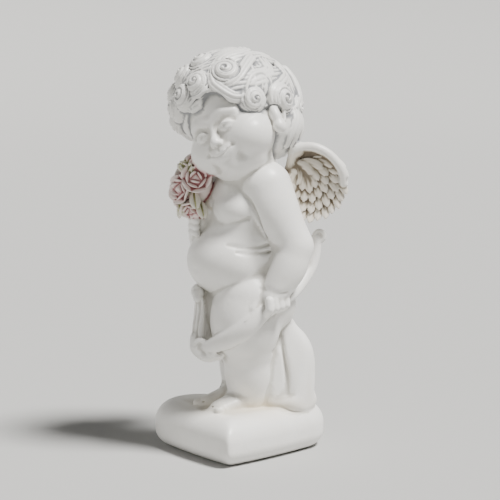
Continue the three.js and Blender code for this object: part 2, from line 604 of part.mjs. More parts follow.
// The clay's surface as triangles: space is cut into cubes, each cube into six tetrahedra round its
// diagonal, and each tetrahedron that the surface crosses gives one or two triangles.
function skinOf(lump, low, high, cell) {
  const size = low.map((l, k) => Math.ceil((high[k] - l) / cell) + 1);
  const stride = [1, size[0], size[0] * size[1]];
  const field = new Float32Array(size[0] * size[1] * size[2]).fill(NaN);
  const point = (i, j, k) => [low[0] + i * cell, low[1] + j * cell, low[2] + k * cell];
  const BLOCK = 6;
  const far = BLOCK * cell * 1.3;
  const live = [];
  for (let k = 0; k < size[2] - 1; k += BLOCK)
    for (let j = 0; j < size[1] - 1; j += BLOCK)
      for (let i = 0; i < size[0] - 1; i += BLOCK) {
        const half = BLOCK / 2;
        if (Math.abs(lump.distance(...point(i + half, j + half, k + half))) > far) continue;
        live.push([i, j, k]);
        for (let c = k; c <= Math.min(k + BLOCK, size[2] - 1); c++)
          for (let b = j; b <= Math.min(j + BLOCK, size[1] - 1); b++)
            for (let a = i; a <= Math.min(i + BLOCK, size[0] - 1); a++) {
              const index = a * stride[0] + b * stride[1] + c * stride[2];
              if (Number.isNaN(field[index])) field[index] = lump.distance(...point(a, b, c));
            }
      }
  const positions = [];
  const triangles = [];
  const onEdge = new Map();
  const step = (mask) => (mask & 1 ? stride[0] : 0) + (mask & 2 ? stride[1] : 0) + (mask & 4 ? stride[2] : 0);
  // The point where the surface crosses the edge between two corners, given as masks of the same cube.
  const crossing = (cube, m, n) => {
    const [from, to] = m < n ? [m, n] : [n, m];
    const start = cube + step(from);
    const key = start * 8 + (to - from);
    if (!onEdge.has(key)) {
      const [d, e] = [field[start], field[cube + step(to)]];
      const t = Math.min(Math.max(d / (d - e), 0.02), 0.98);
      const along = to - from;
      const base = [start % size[0], Math.floor(start / stride[1]) % size[1], Math.floor(start / stride[2])];
      onEdge.set(key, positions.length / 3);
      for (let axis = 0; axis < 3; axis++)
        positions.push(low[axis] + cell * (base[axis] + ((along >> axis) & 1 ? t : 0)));
    }
    return onEdge.get(key);
  };
  // Six tetrahedra round the diagonal from corner 0 to corner 7, all wound the same way.
  const tetrahedra = [
    [0, 1, 3, 7],
    [0, 3, 2, 7],
    [0, 2, 6, 7],
    [0, 6, 4, 7],
    [0, 4, 5, 7],
    [0, 5, 1, 7],
  ];
  for (const [i, j, k] of live)
    for (let c = k; c < Math.min(k + BLOCK, size[2] - 1); c++)
      for (let b = j; b < Math.min(j + BLOCK, size[1] - 1); b++)
        for (let a = i; a < Math.min(i + BLOCK, size[0] - 1); a++) {
          const cube = a * stride[0] + b * stride[1] + c * stride[2];
          let inside = 0;
          for (let mask = 0; mask < 8; mask++) if (field[cube + step(mask)] < 0) inside += 1;
          if (inside === 0 || inside === 8) continue;
          for (const corners of tetrahedra) {
            const isIn = corners.map((mask) => field[cube + step(mask)] < 0);
            const count = isIn.filter((x) => x).length;
            if (count === 0 || count === 4) continue;
            if (count === 2) {
              const order = [...[0, 1, 2, 3].filter((n) => isIn[n]), ...[0, 1, 2, 3].filter((n) => !isIn[n])];
              if (isOdd(order)) [order[0], order[1]] = [order[1], order[0]];
              const [p, q, r, s] = order.map((n) => corners[n]);
              const [pr, ps, qs, qr] = [crossing(cube, p, r), crossing(cube, p, s), crossing(cube, q, s), crossing(cube, q, r)];
              triangles.push([pr, ps, qs], [pr, qs, qr]);
            } else {
              const lone = isIn.indexOf(count === 1);
              const order = [lone, ...[0, 1, 2, 3].filter((n) => n !== lone)];
              if (isOdd(order)) [order[1], order[2]] = [order[2], order[1]];
              const [p, q, r, s] = order.map((n) => corners[n]);
              const face = [crossing(cube, p, q), crossing(cube, p, r), crossing(cube, p, s)];
              triangles.push(count === 1 ? face : face.reverse());
            }
          }
        }
  return outerSheet(positions, triangles);
}

function isOdd(order) {
  let turns = 0;
  for (let i = 0; i < order.length; i++) for (let j = i + 1; j < order.length; j++) if (order[i] > order[j]) turns += 1;
  return turns % 2 === 1;
}

// Of the closed sheets in the skin only the outermost is kept, so the casting is solid inside.
function outerSheet(positions, triangles) {
  const parent = Int32Array.from({ length: positions.length / 3 }, (_, i) => i);
  const find = (v) => {
    while (parent[v] !== v) v = parent[v] = parent[parent[v]];
    return v;
  };
  for (const [a, b, c] of triangles) {
    parent[find(a)] = find(b);
    parent[find(b)] = find(c);
  }
  const volume = new Map();
  const at = (v) => new THREE.Vector3().fromArray(positions, 3 * v);
  for (const [a, b, c] of triangles)
    volume.set(find(a), (volume.get(find(a)) ?? 0) + at(a).dot(at(b).cross(at(c))));
  const [outer] = [...volume].sort((one, other) => other[1] - one[1])[0];
  return { positions, triangles: triangles.filter(([a]) => find(a) === outer) };
}

// ---- Thinning the skin --------------------------------------------------------------------------

// Edges are folded away in order of how little they carry of the surface, measured by the squared
// distance to the planes of the faces round them, until only so many triangles are left.
function thinned(positions, triangles, target) {
  const count = positions.length / 3;
  const at = Array.from({ length: count }, (_, i) => new THREE.Vector3().fromArray(positions, 3 * i));
  const faces = [];
  const around = Array.from({ length: count }, () => new Set());
  const quadric = Array.from({ length: count }, () => new Float64Array(10));
  const addPlane = (q, n, d, weight) => {
    const { x, y, z } = n;
    [x * x, x * y, x * z, x * d, y * y, y * z, y * d, z * z, z * d, d * d].forEach((v, k) => (q[k] += weight * v));
  };
  const normalOf = (a, b, c) => new THREE.Vector3().crossVectors(b.clone().sub(a), c.clone().sub(a));
  for (const face of triangles) {
    const index = faces.push(face) - 1;
    const normal = normalOf(...face.map((v) => at[v]));
    const area = normal.length();
    if (area > 0) normal.divideScalar(area);
    for (const v of face) {
      around[v].add(index);
      addPlane(quadric[v], normal, -normal.dot(at[face[0]]), area);
    }
  }
  const cost = (q, { x, y, z }) =>
    x * (q[0] * x + 2 * q[1] * y + 2 * q[2] * z + 2 * q[3]) +
    y * (q[4] * y + 2 * q[5] * z + 2 * q[6]) +
    z * (q[7] * z + 2 * q[8]) +
    q[9];
  const best = (a, b) => {
    const q = quadric[a].map((v, k) => v + quadric[b][k]);
    const choices = [at[a], at[b], at[a].clone().lerp(at[b], 0.5)];
    const m = new THREE.Matrix3().set(q[0], q[1], q[2], q[1], q[4], q[5], q[2], q[5], q[7]);
    const size = q[0] + q[4] + q[7];
    if (Math.abs(m.determinant()) > 1e-4 * size ** 3) {
      const spot = new THREE.Vector3(-q[3], -q[6], -q[8]).applyMatrix3(m.invert());
      if (spot.distanceTo(choices[2]) < 1.5 * at[a].distanceTo(at[b])) choices.unshift(spot);
    }
    const costs = choices.map((c) => cost(q, c));
    const low = costs.indexOf(Math.min(...costs));
    return { spot: choices[low], cost: Math.max(costs[low], 0) + 1e-5 * at[a].distanceToSquared(at[b]), q };
  };
  // A heap of candidate edges; an edge is stale once either end has changed since it was put in.
  const version = new Uint32Array(count);
  const heap = [];
  const swap = (i, j) => ([heap[i], heap[j]] = [heap[j], heap[i]]);
  const push = (item) => {
    let i = heap.push(item) - 1;
    while (i > 0 && heap[(i - 1) >> 1].cost > heap[i].cost) {
      swap(i, (i - 1) >> 1);
      i = (i - 1) >> 1;
    }
  };
  const pop = () => {
    const top = heap[0];
    const end = heap.pop();
    if (heap.length > 0) {
      heap[0] = end;
      for (let i = 0; ; ) {
        let low = i;
        for (const child of [2 * i + 1, 2 * i + 2])
          if (child < heap.length && heap[child].cost < heap[low].cost) low = child;
        if (low === i) break;
        swap(i, low);
        i = low;
      }
    }
    return top;
  };
  const consider = (a, b) => push({ a, b, va: version[a], vb: version[b], ...best(a, b) });
  const neighbours = (v) => {
    const found = new Set();
    for (const f of around[v]) for (const w of faces[f]) if (w !== v) found.add(w);
    return found;
  };
  for (let v = 0; v < count; v++) for (const w of neighbours(v)) if (v < w) consider(v, w);
  let left = faces.length;
  while (left > target && heap.length > 0) {
    const { a, b, va, vb, spot, q } = pop();
    if (version[a] !== va || version[b] !== vb || around[a].size === 0 || around[b].size === 0) continue;
    const shared = [...around[a]].filter((f) => around[b].has(f));
    const common = [...neighbours(a)].filter((w) => neighbours(b).has(w));
    // Only fold where the skin stays a single closed sheet.
    if (shared.length !== 2 || common.length !== 2) continue;
    let flips = false;
    for (const v of [a, b]) {
      for (const f of around[v]) {
        if (shared.includes(f)) continue;
        const before = faces[f].map((w) => at[w]);
        const after = faces[f].map((w) => (w === v ? spot : at[w]));
        const [n, m] = [normalOf(...before), normalOf(...after)];
        if (n.dot(m) <= 0.25 * n.length() * m.length() || m.length() < 1e-3) flips = true;
      }
    }
    if (flips) continue;
    for (const f of shared) {
      for (const w of faces[f]) around[w].delete(f);
      faces[f] = null;
    }
    left -= 2;
    for (const f of around[b]) {
      faces[f] = faces[f].map((w) => (w === b ? a : w));
      around[a].add(f);
    }
    around[b].clear();
    at[a] = spot.clone();
    quadric[a] = q;
    version[a] += 1;
    version[b] += 1;
    for (const w of neighbours(a)) consider(Math.min(a, w), Math.max(a, w));
  }
  const geometry = new THREE.BufferGeometry().setFromPoints(at);
  geometry.setIndex(faces.filter((f) => f).flat());
  return geometry;
}

// ---- The casting --------------------------------------------------------------------------------

const figure = clay([
  [body, 3],
  [leftLeg, 3],
  [rightLeg, 2],
  [leftArm, 2],
  [rightArm, 2],
  ...wings().map((w) => [w, 2]),
  [cloth(), 2],
  [plinth, 2],
  [head(), 3],
  [posy(), 1.2],
  [rightFist(), 0.8],
  [bow(), 0.8],
  [leftFist(), 0.8],
]);

const CELL = 1.5;
const TRIANGLES = 9600;

// Everything stands on the plane of the plinth's underside.
const onGround = {
  distance: (x, y, z) => Math.max(figure.distance(x, y, z), -z),
};
const skin = skinOf(onGround, [-58, -48, -2.2], [58, 66, 260], CELL);
const geometry = thinned(skin.positions, skin.triangles, TRIANGLES);

const statue = new THREE.Mesh(
  geometry,
  new THREE.MeshStandardMaterial({ color: 0xeeece6, roughness: 0.55, metalness: 0 }),
);
statue.name = "cherub_statue";

const part = new THREE.Group();
part.add(statue);

export default part;
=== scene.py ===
"""A white cast-stone cherub on a heart-shaped plinth, holding a rose posy and a lowered bow."""
import math

import bpy
import mathutils
import numpy as np
import openvdb
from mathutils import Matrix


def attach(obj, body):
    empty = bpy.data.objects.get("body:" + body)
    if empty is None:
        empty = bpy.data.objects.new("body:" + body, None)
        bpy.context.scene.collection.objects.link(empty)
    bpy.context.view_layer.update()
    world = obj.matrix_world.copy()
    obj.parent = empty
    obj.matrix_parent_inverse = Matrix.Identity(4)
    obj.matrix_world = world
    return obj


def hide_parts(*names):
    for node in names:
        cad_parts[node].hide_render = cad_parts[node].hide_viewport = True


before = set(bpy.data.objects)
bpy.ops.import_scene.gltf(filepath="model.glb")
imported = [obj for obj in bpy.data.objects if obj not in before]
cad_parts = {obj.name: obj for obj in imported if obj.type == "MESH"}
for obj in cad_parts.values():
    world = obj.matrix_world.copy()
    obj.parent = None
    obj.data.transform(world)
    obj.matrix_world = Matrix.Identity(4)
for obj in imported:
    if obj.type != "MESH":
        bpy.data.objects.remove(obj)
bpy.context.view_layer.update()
bpy.ops.object.select_all(action="DESELECT")

MM = 0.001

# The camera ---------------------------------------------------------------------------------------
# It stands over a metre away on the figure's left front, a little above its head, and looks down on it.
VIEW_FROM = math.radians(55)  # from straight in front, towards the figure's left
LOOK_DOWN = math.radians(7.2)
CAMERA_OUT, CAMERA_ASIDE, CAMERA_UP = 1.180, 0.00786, 0.272  # metres from the origin
camera = bpy.data.objects.new("camera", bpy.data.cameras.new("camera"))
bpy.context.scene.collection.objects.link(camera)
bpy.context.scene.camera = camera
camera.data.lens = 140.5
camera.location = (
    CAMERA_OUT * math.sin(VIEW_FROM) + CAMERA_ASIDE * math.cos(VIEW_FROM),
    -CAMERA_OUT * math.cos(VIEW_FROM) + CAMERA_ASIDE * math.sin(VIEW_FROM),
    CAMERA_UP,
)
camera.rotation_euler = (math.radians(90) - LOOK_DOWN, 0, VIEW_FROM)


# The clay -----------------------------------------------------------------------------------------
# The master for the mould is modelled in clay: lumps and rolls are pressed together, creases and
# grooves are tooled in, and the mould is taken from the finished skin. Sizes are in millimetres.
CELL = 0.42  # spacing of the grid that holds the clay's surface
FAR = 9.0  # distances beyond this aren't told apart


def turned(angles):
    """A rotation matrix from angles about x, then y, then z."""
    (a, b, c), (s, t, u) = np.cos(angles), np.sin(angles)
    about_x = np.array([[1, 0, 0], [0, a, -s], [0, s, a]])
    about_y = np.array([[b, 0, t], [0, 1, 0], [-t, 0, b]])
    about_z = np.array([[c, -u, 0], [u, c, 0], [0, 0, 1]])
    return about_z @ about_y @ about_x


class Clay:
    """Distances to the clay's surface on a regular grid, negative inside. What is pressed on is given
    in the clay's own space, which stands in the figure's at a pose and a place."""

    def __init__(self, low, high, pose=np.eye(3), place=(0, 0, 0)):
        self.first = np.floor(np.array(low) / CELL).astype(int)
        count = np.ceil(np.array(high) / CELL).astype(int) + 1 - self.first
        self.depth = np.full(count, FAR, np.float32)
        self.pose, self.place = np.array(pose, float), np.array(place, float)

    def window(self, low, high):
        """The part of the grid between two corners in the figure's space, and its points."""
        top = np.array(self.depth.shape)
        start = np.clip(np.floor(np.array(low) / CELL).astype(int) - self.first, 0, top)
        end = np.clip(np.ceil(np.array(high) / CELL).astype(int) + 1 - self.first, 0, top)
        part = tuple(slice(a, max(a, b)) for a, b in zip(start, end))
        axes = [
            (np.arange(s.start, s.stop) + f).astype(np.float32) * np.float32(CELL)
            for s, f in zip(part, self.first)
        ]
        return part, np.meshgrid(*axes, indexing="ij", sparse=True)

    def press(self, part, lump, fillet, cut=False):
        """Joins a lump on with a fillet, or presses its shape in as a hollow."""
        here = self.depth[part]
        if here.size == 0:
            return
        lump = -lump if cut else lump
        blend = np.maximum(fillet - np.abs(here - lump), 0) ** 2 / (4 * fillet)
        self.depth[part] = np.maximum(here, lump) + blend if cut else np.minimum(here, lump) - blend

    def ball(self, middle, halves, fillet, turn=(0, 0, 0), cut=False, axes=None):
        """An ellipsoid with its half sizes along its own axes."""
        middle = self.pose @ np.array(middle, float) + self.place
        own = self.pose @ (turned(turn) if axes is None else np.array(axes).T)
        halves = np.array(halves, float)
        reach = np.sqrt((own**2) @ (halves**2)) + fillet + 2 * CELL
        part, (x, y, z) = self.window(middle - reach, middle + reach)
        x, y, z = x - middle[0], y - middle[1], z - middle[2]
        p, q, r = (own[0, k] * x + own[1, k] * y + own[2, k] * z for k in range(3))
        a, b, c = halves
        one = np.sqrt((p / a) ** 2 + (q / b) ** 2 + (r / c) ** 2)
        two = np.sqrt((p / a**2) ** 2 + (q / b**2) ** 2 + (r / c**2) ** 2) + 1e-6
        self.press(part, (one * (one - 1) / two).astype(np.float32), fillet, cut)

    def strand(self, path, fillet, flat=None, squash=1.0, cut=False, groove=None):
        """A roll of clay through stations of x, y, z and radius, flattened along `flat`, which is one
        direction or one for each station. groove is the pitch and depth of lines combed along it."""
        path = np.array(path, float)
        path[:, :3] = path[:, :3] @ self.pose.T + self.place
        if flat is not None:
            flat = np.broadcast_to(np.array(flat, float), (len(path), 3)) @ self.pose.T
        margin = path[:, 3].max() + fillet + 2 * CELL
        part, _ = self.window(path[:, :3].min(0) - margin, path[:, :3].max(0) + margin)
        origin = [s.start for s in part]
        lump = np.full([s.stop - s.start for s in part], FAR, np.float32)
        for i in range(len(path) - 1):
            start, end = path[i], path[i + 1]
            reach = max(start[3], end[3]) + fillet + 2 * CELL
            near, (x, y, z) = self.window(
                np.minimum(start[:3], end[:3]) - reach, np.maximum(start[:3], end[:3]) + reach
            )
            local = tuple(slice(s.start - o, s.stop - o) for s, o in zip(near, origin))
            if lump[local].size == 0:
                continue
            step = end[:3] - start[:3]
            x, y, z = x - start[0], y - start[1], z - start[2]
            t = np.clip((x * step[0] + y * step[1] + z * step[2]) / (step @ step + 1e-9), 0, 1)
            qx, qy, qz = x - t * step[0], y - t * step[1], z - t * step[2]
            ridge = 0
            if flat is not None:
                n = flat[i] + flat[i + 1]
                n = n - step * (n @ step) / (step @ step + 1e-9)
                n = n / (np.linalg.norm(n) + 1e-9)
                if groove:
                    side = np.cross(step, n)
                    side /= np.linalg.norm(side) + 1e-9
                    across = qx * side[0] + qy * side[1] + qz * side[2]
                    ridge = groove[1] * (1 - np.abs(np.cos(np.pi * across / groove[0])))
                off = (qx * n[0] + qy * n[1] + qz * n[2]) * (1 / squash - 1)
                qx, qy, qz = qx + off * n[0], qy + off * n[1], qz + off * n[2]
            d = np.sqrt(qx * qx + qy * qy + qz * qz) - (start[3] + (end[3] - start[3]) * t)
            if flat is not None:
                d = d * max(squash, 0.5) + ridge
            np.minimum(lump[local], d, out=lump[local])
        self.press(part, lump, fillet, cut)

    def join(self, other, fillet, cut=False):
        """Presses another clay on, grid point on grid point."""
        start = np.maximum(self.first, other.first)
        end = np.minimum(self.first + self.depth.shape, other.first + other.depth.shape)
        mine = tuple(slice(a, b) for a, b in zip(start - self.first, end - self.first))
        its = tuple(slice(a, b) for a, b in zip(start - other.first, end - other.first))
        self.press(mine, other.depth[its], fillet, cut)


def smooth_path(stations, count):
    """Catmull-Rom stations through the given ones."""
    p = np.array(stations, float)
    p = np.vstack([2 * p[0] - p[1], p, 2 * p[-1] - p[-2]])
    out = []
    for s in np.linspace(0, len(stations) - 1, count + 1):
        i = min(int(s), len(stations) - 2)
        t = s - i
        a, b, c, d = p[i : i + 4]
        out.append(
            0.5 * (
                2 * b + (c - a) * t + (2 * a - 5 * b + 4 * c - d) * t**2 + (3 * b - a - 3 * c + d) * t**3
            ),
        )
    return np.array(out)


def unit(v):
    v = np.array(v, float)
    return v / np.linalg.norm(v)


def spiral(
    middle, axis, radius, turns, thickness, start=0.0, hand=1, inner=0.12, dome=None, rise=0.0, east=None
):
    """Stations of a spiral that winds in about the axis; on a ball of radius `dome` it keeps to it."""
    axis = unit(axis)
    if east is None:
        east = (0, 0, 1) if abs(axis[2]) < 0.9 else (0, -1, 0)
    north = unit(np.cross(axis, east))
    east = np.cross(north, axis)
    stations = []
    count = round(14 * turns)
    for i in range(count + 1):
        share = i / count
        angle = start + hand * share * turns * 2 * math.pi
        out = radius * (1 + (inner - 1) * share)
        up = math.sqrt(max(dome**2 - out**2, 0)) if dome else share * rise
        p = np.array(middle) + east * math.cos(angle) * out + north * math.sin(angle) * out + axis * up
        stations.append([*p, thickness * (1 - 0.3 * share)])
    return np.array(stations)


# The head -----------------------------------------------------------------------------------------
# A round child's head with full cheeks and a closed smile, modelled with the face along -y and the eyes'
# level at z = 0, then set on the neck: turned to its left, with the crown leaning to the right shoulder.
HEAD_AT = np.array([1.5, -2.5, 196.0])
HEAD_POSE = turned((0, 0, math.radians(24))) @ turned((math.radians(-3), 0, 0)) @ turned(
    (0, math.radians(-27), 0)
)
head = Clay((-52, -50, 146), (52, 62, 252), HEAD_POSE, HEAD_AT)
head.ball((0, 7, 13), (28.5, 32, 28), 5)  # skull
head.ball((0, -5, -8), (26, 20, 18), 9)  # jaw
for side in (1, -1):
    head.ball((13.5 * side, -12, -9.5), (13, 12.2, 11.8), 6)  # cheeks
head.ball((0, -19, -21.5), (6.2, 6, 5.4), 5)  # chin
head.ball((0, -7, -23.5), (15, 12, 7), 6)  # the fold under it
head.strand([(0, 2, -18, 15), (-4, 6, -34, 15), (-9, 8, -46, 15)], 4)  # neck
head.ball((0, -22, -14.5), (9.5, 6, 6), 4)  # muzzle
# Bridge of the nose.
head.strand(smooth_path([(0, -22.8, 4, 2.2), (0, -25.6, -2.5, 2), (0, -27.6, -6, 2.3)], 5), 3.5)
head.ball((0, -28.2, -8), (2.9, 2.9, 2.5), 1.8)  # its tip
for side in (1, -1):
    head.ball((9.4 * side, -30.6, 0.6), (6.2, 4.2, 3.8), 5, cut=True)  # eye socket
    head.ball((8.9 * side, -20.7, -0.6), (5, 5, 4.2), 0.8)  # eyeball
    upper = [
        (4, -24.4, -0.9, 0.4), (6.2, -25.4, 0.4, 0.8), (9, -25.6, 0.9, 1), (11.8, -24.3, 0.4, 0.9),
        (14.4, -22, -1.2, 0.4),
    ]
    lower = [
        (4.3, -24.3, -1.1, 0.3), (6.6, -24.9, -2.2, 0.7), (9, -25, -2.5, 0.8), (11.6, -23.9, -2, 0.7),
        (13.8, -22.2, -1, 0.3),
    ]
    crease = [(5, -25, 1.9, 0.15), (8.8, -25.6, 3, 0.25), (12.6, -23.6, 2.3, 0.2), (14.8, -22, 0.6, 0.1)]
    for fold, fillet, cut in ((upper, 1, False), (lower, 1.5, False), (crease, 1.4, True)):
        head.strand(smooth_path([(x * side, y, z, r) for x, y, z, r in fold], 10), fillet, cut=cut)
    head.ball((8.8 * side, -26.1, -0.7), (0.95, 0.8, 0.8), 0.4, cut=True)  # pupil
    # Brow.
    head.strand(
        smooth_path(
            [(4 * side, -23.4, 6, 0.5), (9.4 * side, -23.6, 8, 0.8), (15 * side, -20.6, 6.4, 0.5)], 16
        ),
        6,
    )
    head.ball((2.7 * side, -26.8, -8.8), (1.8, 2, 1.6), 0.9)  # wings of the nose
    head.ball((1.4 * side, -28.6, -10.3), (0.8, 1.1, 0.6), 0.5, cut=True)  # nostrils
    head.ball((2.1 * side, -26.5, -14.7), (3, 1.3, 1), 1, turn=(0, 0.16 * side, -0.3 * side))  # upper lip
    head.ball((8.4 * side, -25.4, -13.1), (0.5, 0.9, 0.6), 1.6, cut=True)  # corners of the mouth
    head.strand(
        smooth_path(
            [
                (4.6 * side, -27.4, -8.8, 0.2), (8 * side, -26.8, -10.4, 0.3),
                (10 * side, -25.6, -12.6, 0.3),
            ],
            6,
        ),
        2.4, cut=True,
    )
    head.ball((28.6 * side, 1.5, -5), (4, 6.4, 8.4), 1.2, turn=(0, 0, 0.5 * side))  # ear
    head.ball((30 * side, -1, -11), (3.8, 4.6, 4.4), 1.2)  # its lobe
    ear = [
        (30 * side, -2, -3, 0.9), (31.8 * side, 1.5, 1.6, 1), (32.4 * side, 6, -1, 1.1),
        (31.4 * side, 5, -8, 1),
    ]
    head.strand(smooth_path(ear, 8), 0.7)
    head.ball((31.4 * side, 1.5, -4.5), (1.6, 2.6, 4), 1, cut=True)
head.ball((0, -26, -18), (3.8, 1.5, 1.3), 1.2)  # lower lip
head.ball((0, -26.6, -20.4), (4, 1, 0.7), 1.8, cut=True)  # the hollow above the chin
mouth = [
    (-8.2, -25.5, -13.1, 0.45), (-4.4, -27.2, -15.2, 0.6), (-1.4, -27.8, -16.1, 0.65),
    (0, -27.8, -15.9, 0.65), (1.4, -27.8, -16.1, 0.65), (4.4, -27.2, -15.2, 0.6),
    (8.2, -25.5, -13.1, 0.45),
]
head.strand(smooth_path(mouth, 18), 0.35, cut=True)
head.strand([(0, -28.2, -11.6, 0.4), (0, -27.9, -13.2, 0.5)], 1, cut=True)  # groove under the nose

# The hair -----------------------------------------------------------------------------------------
# A thick mass of hair that flows in combed locks from a whorl at the crown and rolls up all round the
# face and the nape into snail curls, each a dome scored by a spiral with a hole at its eye.
CAP = np.array([34.5, 41.0, 35.0])  # half sizes of the hair's mass
CAP_MIDDLE = np.array([-1.0, 13.0, 15.5])
hair = Clay((-52, -50, 146), (52, 62, 252), HEAD_POSE, HEAD_AT)
hair.ball(CAP_MIDDLE, CAP - 1.5, 1)
hair.ball((0, 12, -6), (28.5, 26, 20), 8)


def on_cap(way, lift=0.0):
    """The place on the hair's mass in a direction, and the outward direction there. A direction is a
    vector, or an azimuth from the face towards the left ear and an elevation."""
    if len(way) == 2:
        a, e = np.radians(way)
        way = (math.sin(a) * math.cos(e), -math.cos(a) * math.cos(e), math.sin(e))
    spot = unit(way) * CAP
    normal = unit(spot / CAP**2)
    return spot + CAP_MIDDLE + lift * normal, normal


def lock(ways, widths, lift=-1.2, squash=0.6, pitch=2.9, depth=0.65, fillet=0.6):
    """A combed lock along directions over the hair's mass."""
    points = [on_cap(way)[0] for way in ways]
    path = smooth_path([[*p, r] for p, r in zip(points, widths)], 5 * (len(ways) - 1))
    stations, normals = [], []
    for x, y, z, r in path:
        spot, normal = on_cap((np.array((x, y, z)) - CAP_MIDDLE) / CAP, lift)
        stations.append([*spot, r])
        normals.append(normal)
    hair.strand(stations, fillet, flat=normals, squash=squash, groove=(pitch, depth))


def trim_hair(fillet, deep=0.0):
    """Cuts the hair back to the hairline, the ears and the nape, a little less where curls hang over."""
    hair.ball((0, -31 - deep, -9 - deep), (27 - deep, 33, 30 - deep), fillet, cut=True)
    hair.ball((0, -4, -39), (60, 44, 29), fillet, cut=True)
    for side in (1, -1):
        hair.ball((30 * side, -3, -9), (9, 11, 12), fillet, cut=True)
    hair.ball((-37, -8, -9), (17, 30, 22), fillet, cut=True)


trim_hair(4)

# Locks from the whorl, in three rings that overlap.
whorl = unit([0.55, 0.5, 1.0])
whorl_east = unit(np.cross(whorl, (0, 1, 0)))
whorl_north = np.cross(whorl, whorl_east)
for ring, (count, first, last, lift) in enumerate(
    [(17, 44, 112, -2.6), (13, 20, 76, -2.0), (8, 4, 44, -1.4)]
):
    for i in range(count):
        around = 2 * math.pi * (i + 0.5 * ring) / count
        ways, widths = [], []
        for s in np.linspace(0, 1, 7):
            tilt = math.radians(first + (last - first) * s)
            bend = around + 0.2 * math.sin(2 * math.pi * (1.1 * s + 0.37 * i)) + 0.7 * (1 - s)
            ways.append(
                whorl * math.cos(tilt)
                + (whorl_east * math.cos(bend) + whorl_north * math.sin(bend)) * math.sin(tilt)
            )
            full = 2 * math.pi * 37 * math.sin(tilt) / count
            widths.append(max(0.6 * full * (0.6 + 0.4 * math.sin(math.pi * min(1, 0.2 + 0.9 * s))), 1.2))
        lock(ways, widths, lift)


def snail(azimuth, elevation, radius, hand, start, rise=0.4, tail=0.0):
    """A domed curl. Its hair winds in from the direction `start`, where a lock of it comes from."""
    spot, normal = on_cap((azimuth, elevation))
    east = unit(np.cross((0, 0, 1), normal))
    north = np.cross(normal, east)
    middle = spot - normal * radius * (1 - rise) * 0.62
    hair.ball(middle, (radius, radius, radius * 0.86), 0.5, axes=(east, north, normal))
    eye = middle + normal * radius * 0.02
    turns = 2.1 if radius > 7 else 1.6
    for shift, thickness, growth, inner in (
        (0, 0.85, 1.5, 0.1), (math.pi * 0.62, 0.5, 1.0, 0.2), (math.pi * 1.3, 0.5, 1.0, 0.22)
    ):
        path = spiral(
            (0, 0, 0), (0, 0, 1), radius * 0.92, turns, 1, start + shift, hand, inner, east=(1, 0, 0)
        )
        stations = []
        for k, (u, v, _, _) in enumerate(path):
            share = k / (len(path) - 1)
            out = math.hypot(u, v) / radius
            up = 0.86 * radius * math.sqrt(max(1 - out * out, 0))
            stations.append(
                [*(eye + east * u + north * v + normal * up), thickness * (1 + (growth - 1) * share)]
            )
        hair.strand(stations, 0.25, cut=True)
    pupil = eye + normal * radius * 0.84
    hair.ball(pupil - normal * 0.4, (radius * 0.12,) * 3, 0.2, cut=True)
    hair.ball(
        pupil + east * radius * 0.14 * hand - normal * 0.7, (radius * 0.1, radius * 0.1, radius * 0.1),
        0.3,
    )


SNAILS = [
    # azimuth, elevation, radius, hand, where its hair comes from, how far it stands out
    # The first six hang over the forehead and the temples, and are laid after the hair is cut back.
    (37, 25, 11, -1, 1.6, 0.35),
    (4, 25, 9.5, 1, 1.2, 0.5),
    (-17, 20, 9.5, -1, 2.2, 0.55),
    (-38, 16, 9.5, 1, 1.8, 0.6),
    (-60, 8, 9, -1, 1.6, 0.55),
    (-84, 4, 9, 1, 1.4, 0.5),
    (52, -12, 9, 1, 1.2, 0.55),
    (83, -16, 11, -1, 1.6, 0.7),
    (62, -28, 5, -1, 1.8, 0.7),
    (-24, 46, 9.5, 1, 1.2, 0.7),
    (-52, 34, 9.5, -1, 1.4, 0.7),
    (-82, 28, 9.5, 1, 1.4, 0.45),
    (8, 54, 9.5, -1, 0.6, 0.55),
    (-110, 8, 9.5, -1, 1.4, 0.45),
    (-106, -16, 9, 1, 1.4, 0.5),
    (112, -24, 10, 1, 1.4, 0.6),
    (136, -14, 10.5, -1, 1.4, 0.5),
    (162, -22, 10.5, 1, 1.4, 0.5),
    (-170, -16, 10.5, -1, 1.6, 0.5),
    (-142, -22, 10.5, 1, 1.6, 0.5),
    (-132, 4, 9.5, 1, 1.4, 0.45),
    (152, 8, 9.5, -1, 1.4, 0.35),
    (178, 10, 9.5, 1, 1.4, 0.35),
    (-156, 10, 9.5, -1, 1.6, 0.35),
    (122, -48, 8.5, 1, 1.0, 0.5),
    (148, -46, 9, -1, 1.2, 0.5),
    (176, -48, 9, 1, 1.4, 0.5),
    (-156, -46, 9, -1, 1.6, 0.5),
    (-126, -46, 8.5, 1, 1.8, 0.5),
]
OVER_FOREHEAD = 6  # so many of them are laid last
for one in SNAILS[OVER_FOREHEAD:]:
    snail(*one)

# The long locks at the left: one sweeps under the big curl and over the temple in an S, one rolls over
# the curl by the ear, and the rest fall behind the ear.
lock([(60, 46), (42, 44), (28, 33), (22, 18), (28, 5), (36, -4),
      (45, -5), (51, 3), (59, 11), (70, 12), (75, 3), (71, -8)],
     [2.4, 3.2, 3.4, 3.4, 3.4, 3, 2.4, 2.6, 3, 3.2, 2.8, 1.4], 0.8)
lock([(70, 32), (56, 22), (46, 14), (36, 10), (30, 14)], [3.4, 3.4, 3.2, 2.6, 1.2], 1.4)
lock([(21, 13), (24, 2), (32, -6), (41, -11), (47, -13)], [1, 2, 2.4, 2, 1], -0.4)
lock([(64, 20), (60, 6), (56, 0), (60, -4), (64, -14)], [3, 2.8, 2.4, 2.2, 1.4], 0.2)
lock([(16, 30), (14, 16), (6, 10), (-4, 12)], [1.4, 2.4, 2.4, 1.2], 1)
lock([(-2, 10), (-12, 8), (-24, 13), (-32, 26)], [1.4, 2, 2.4, 1.4], 0.6)
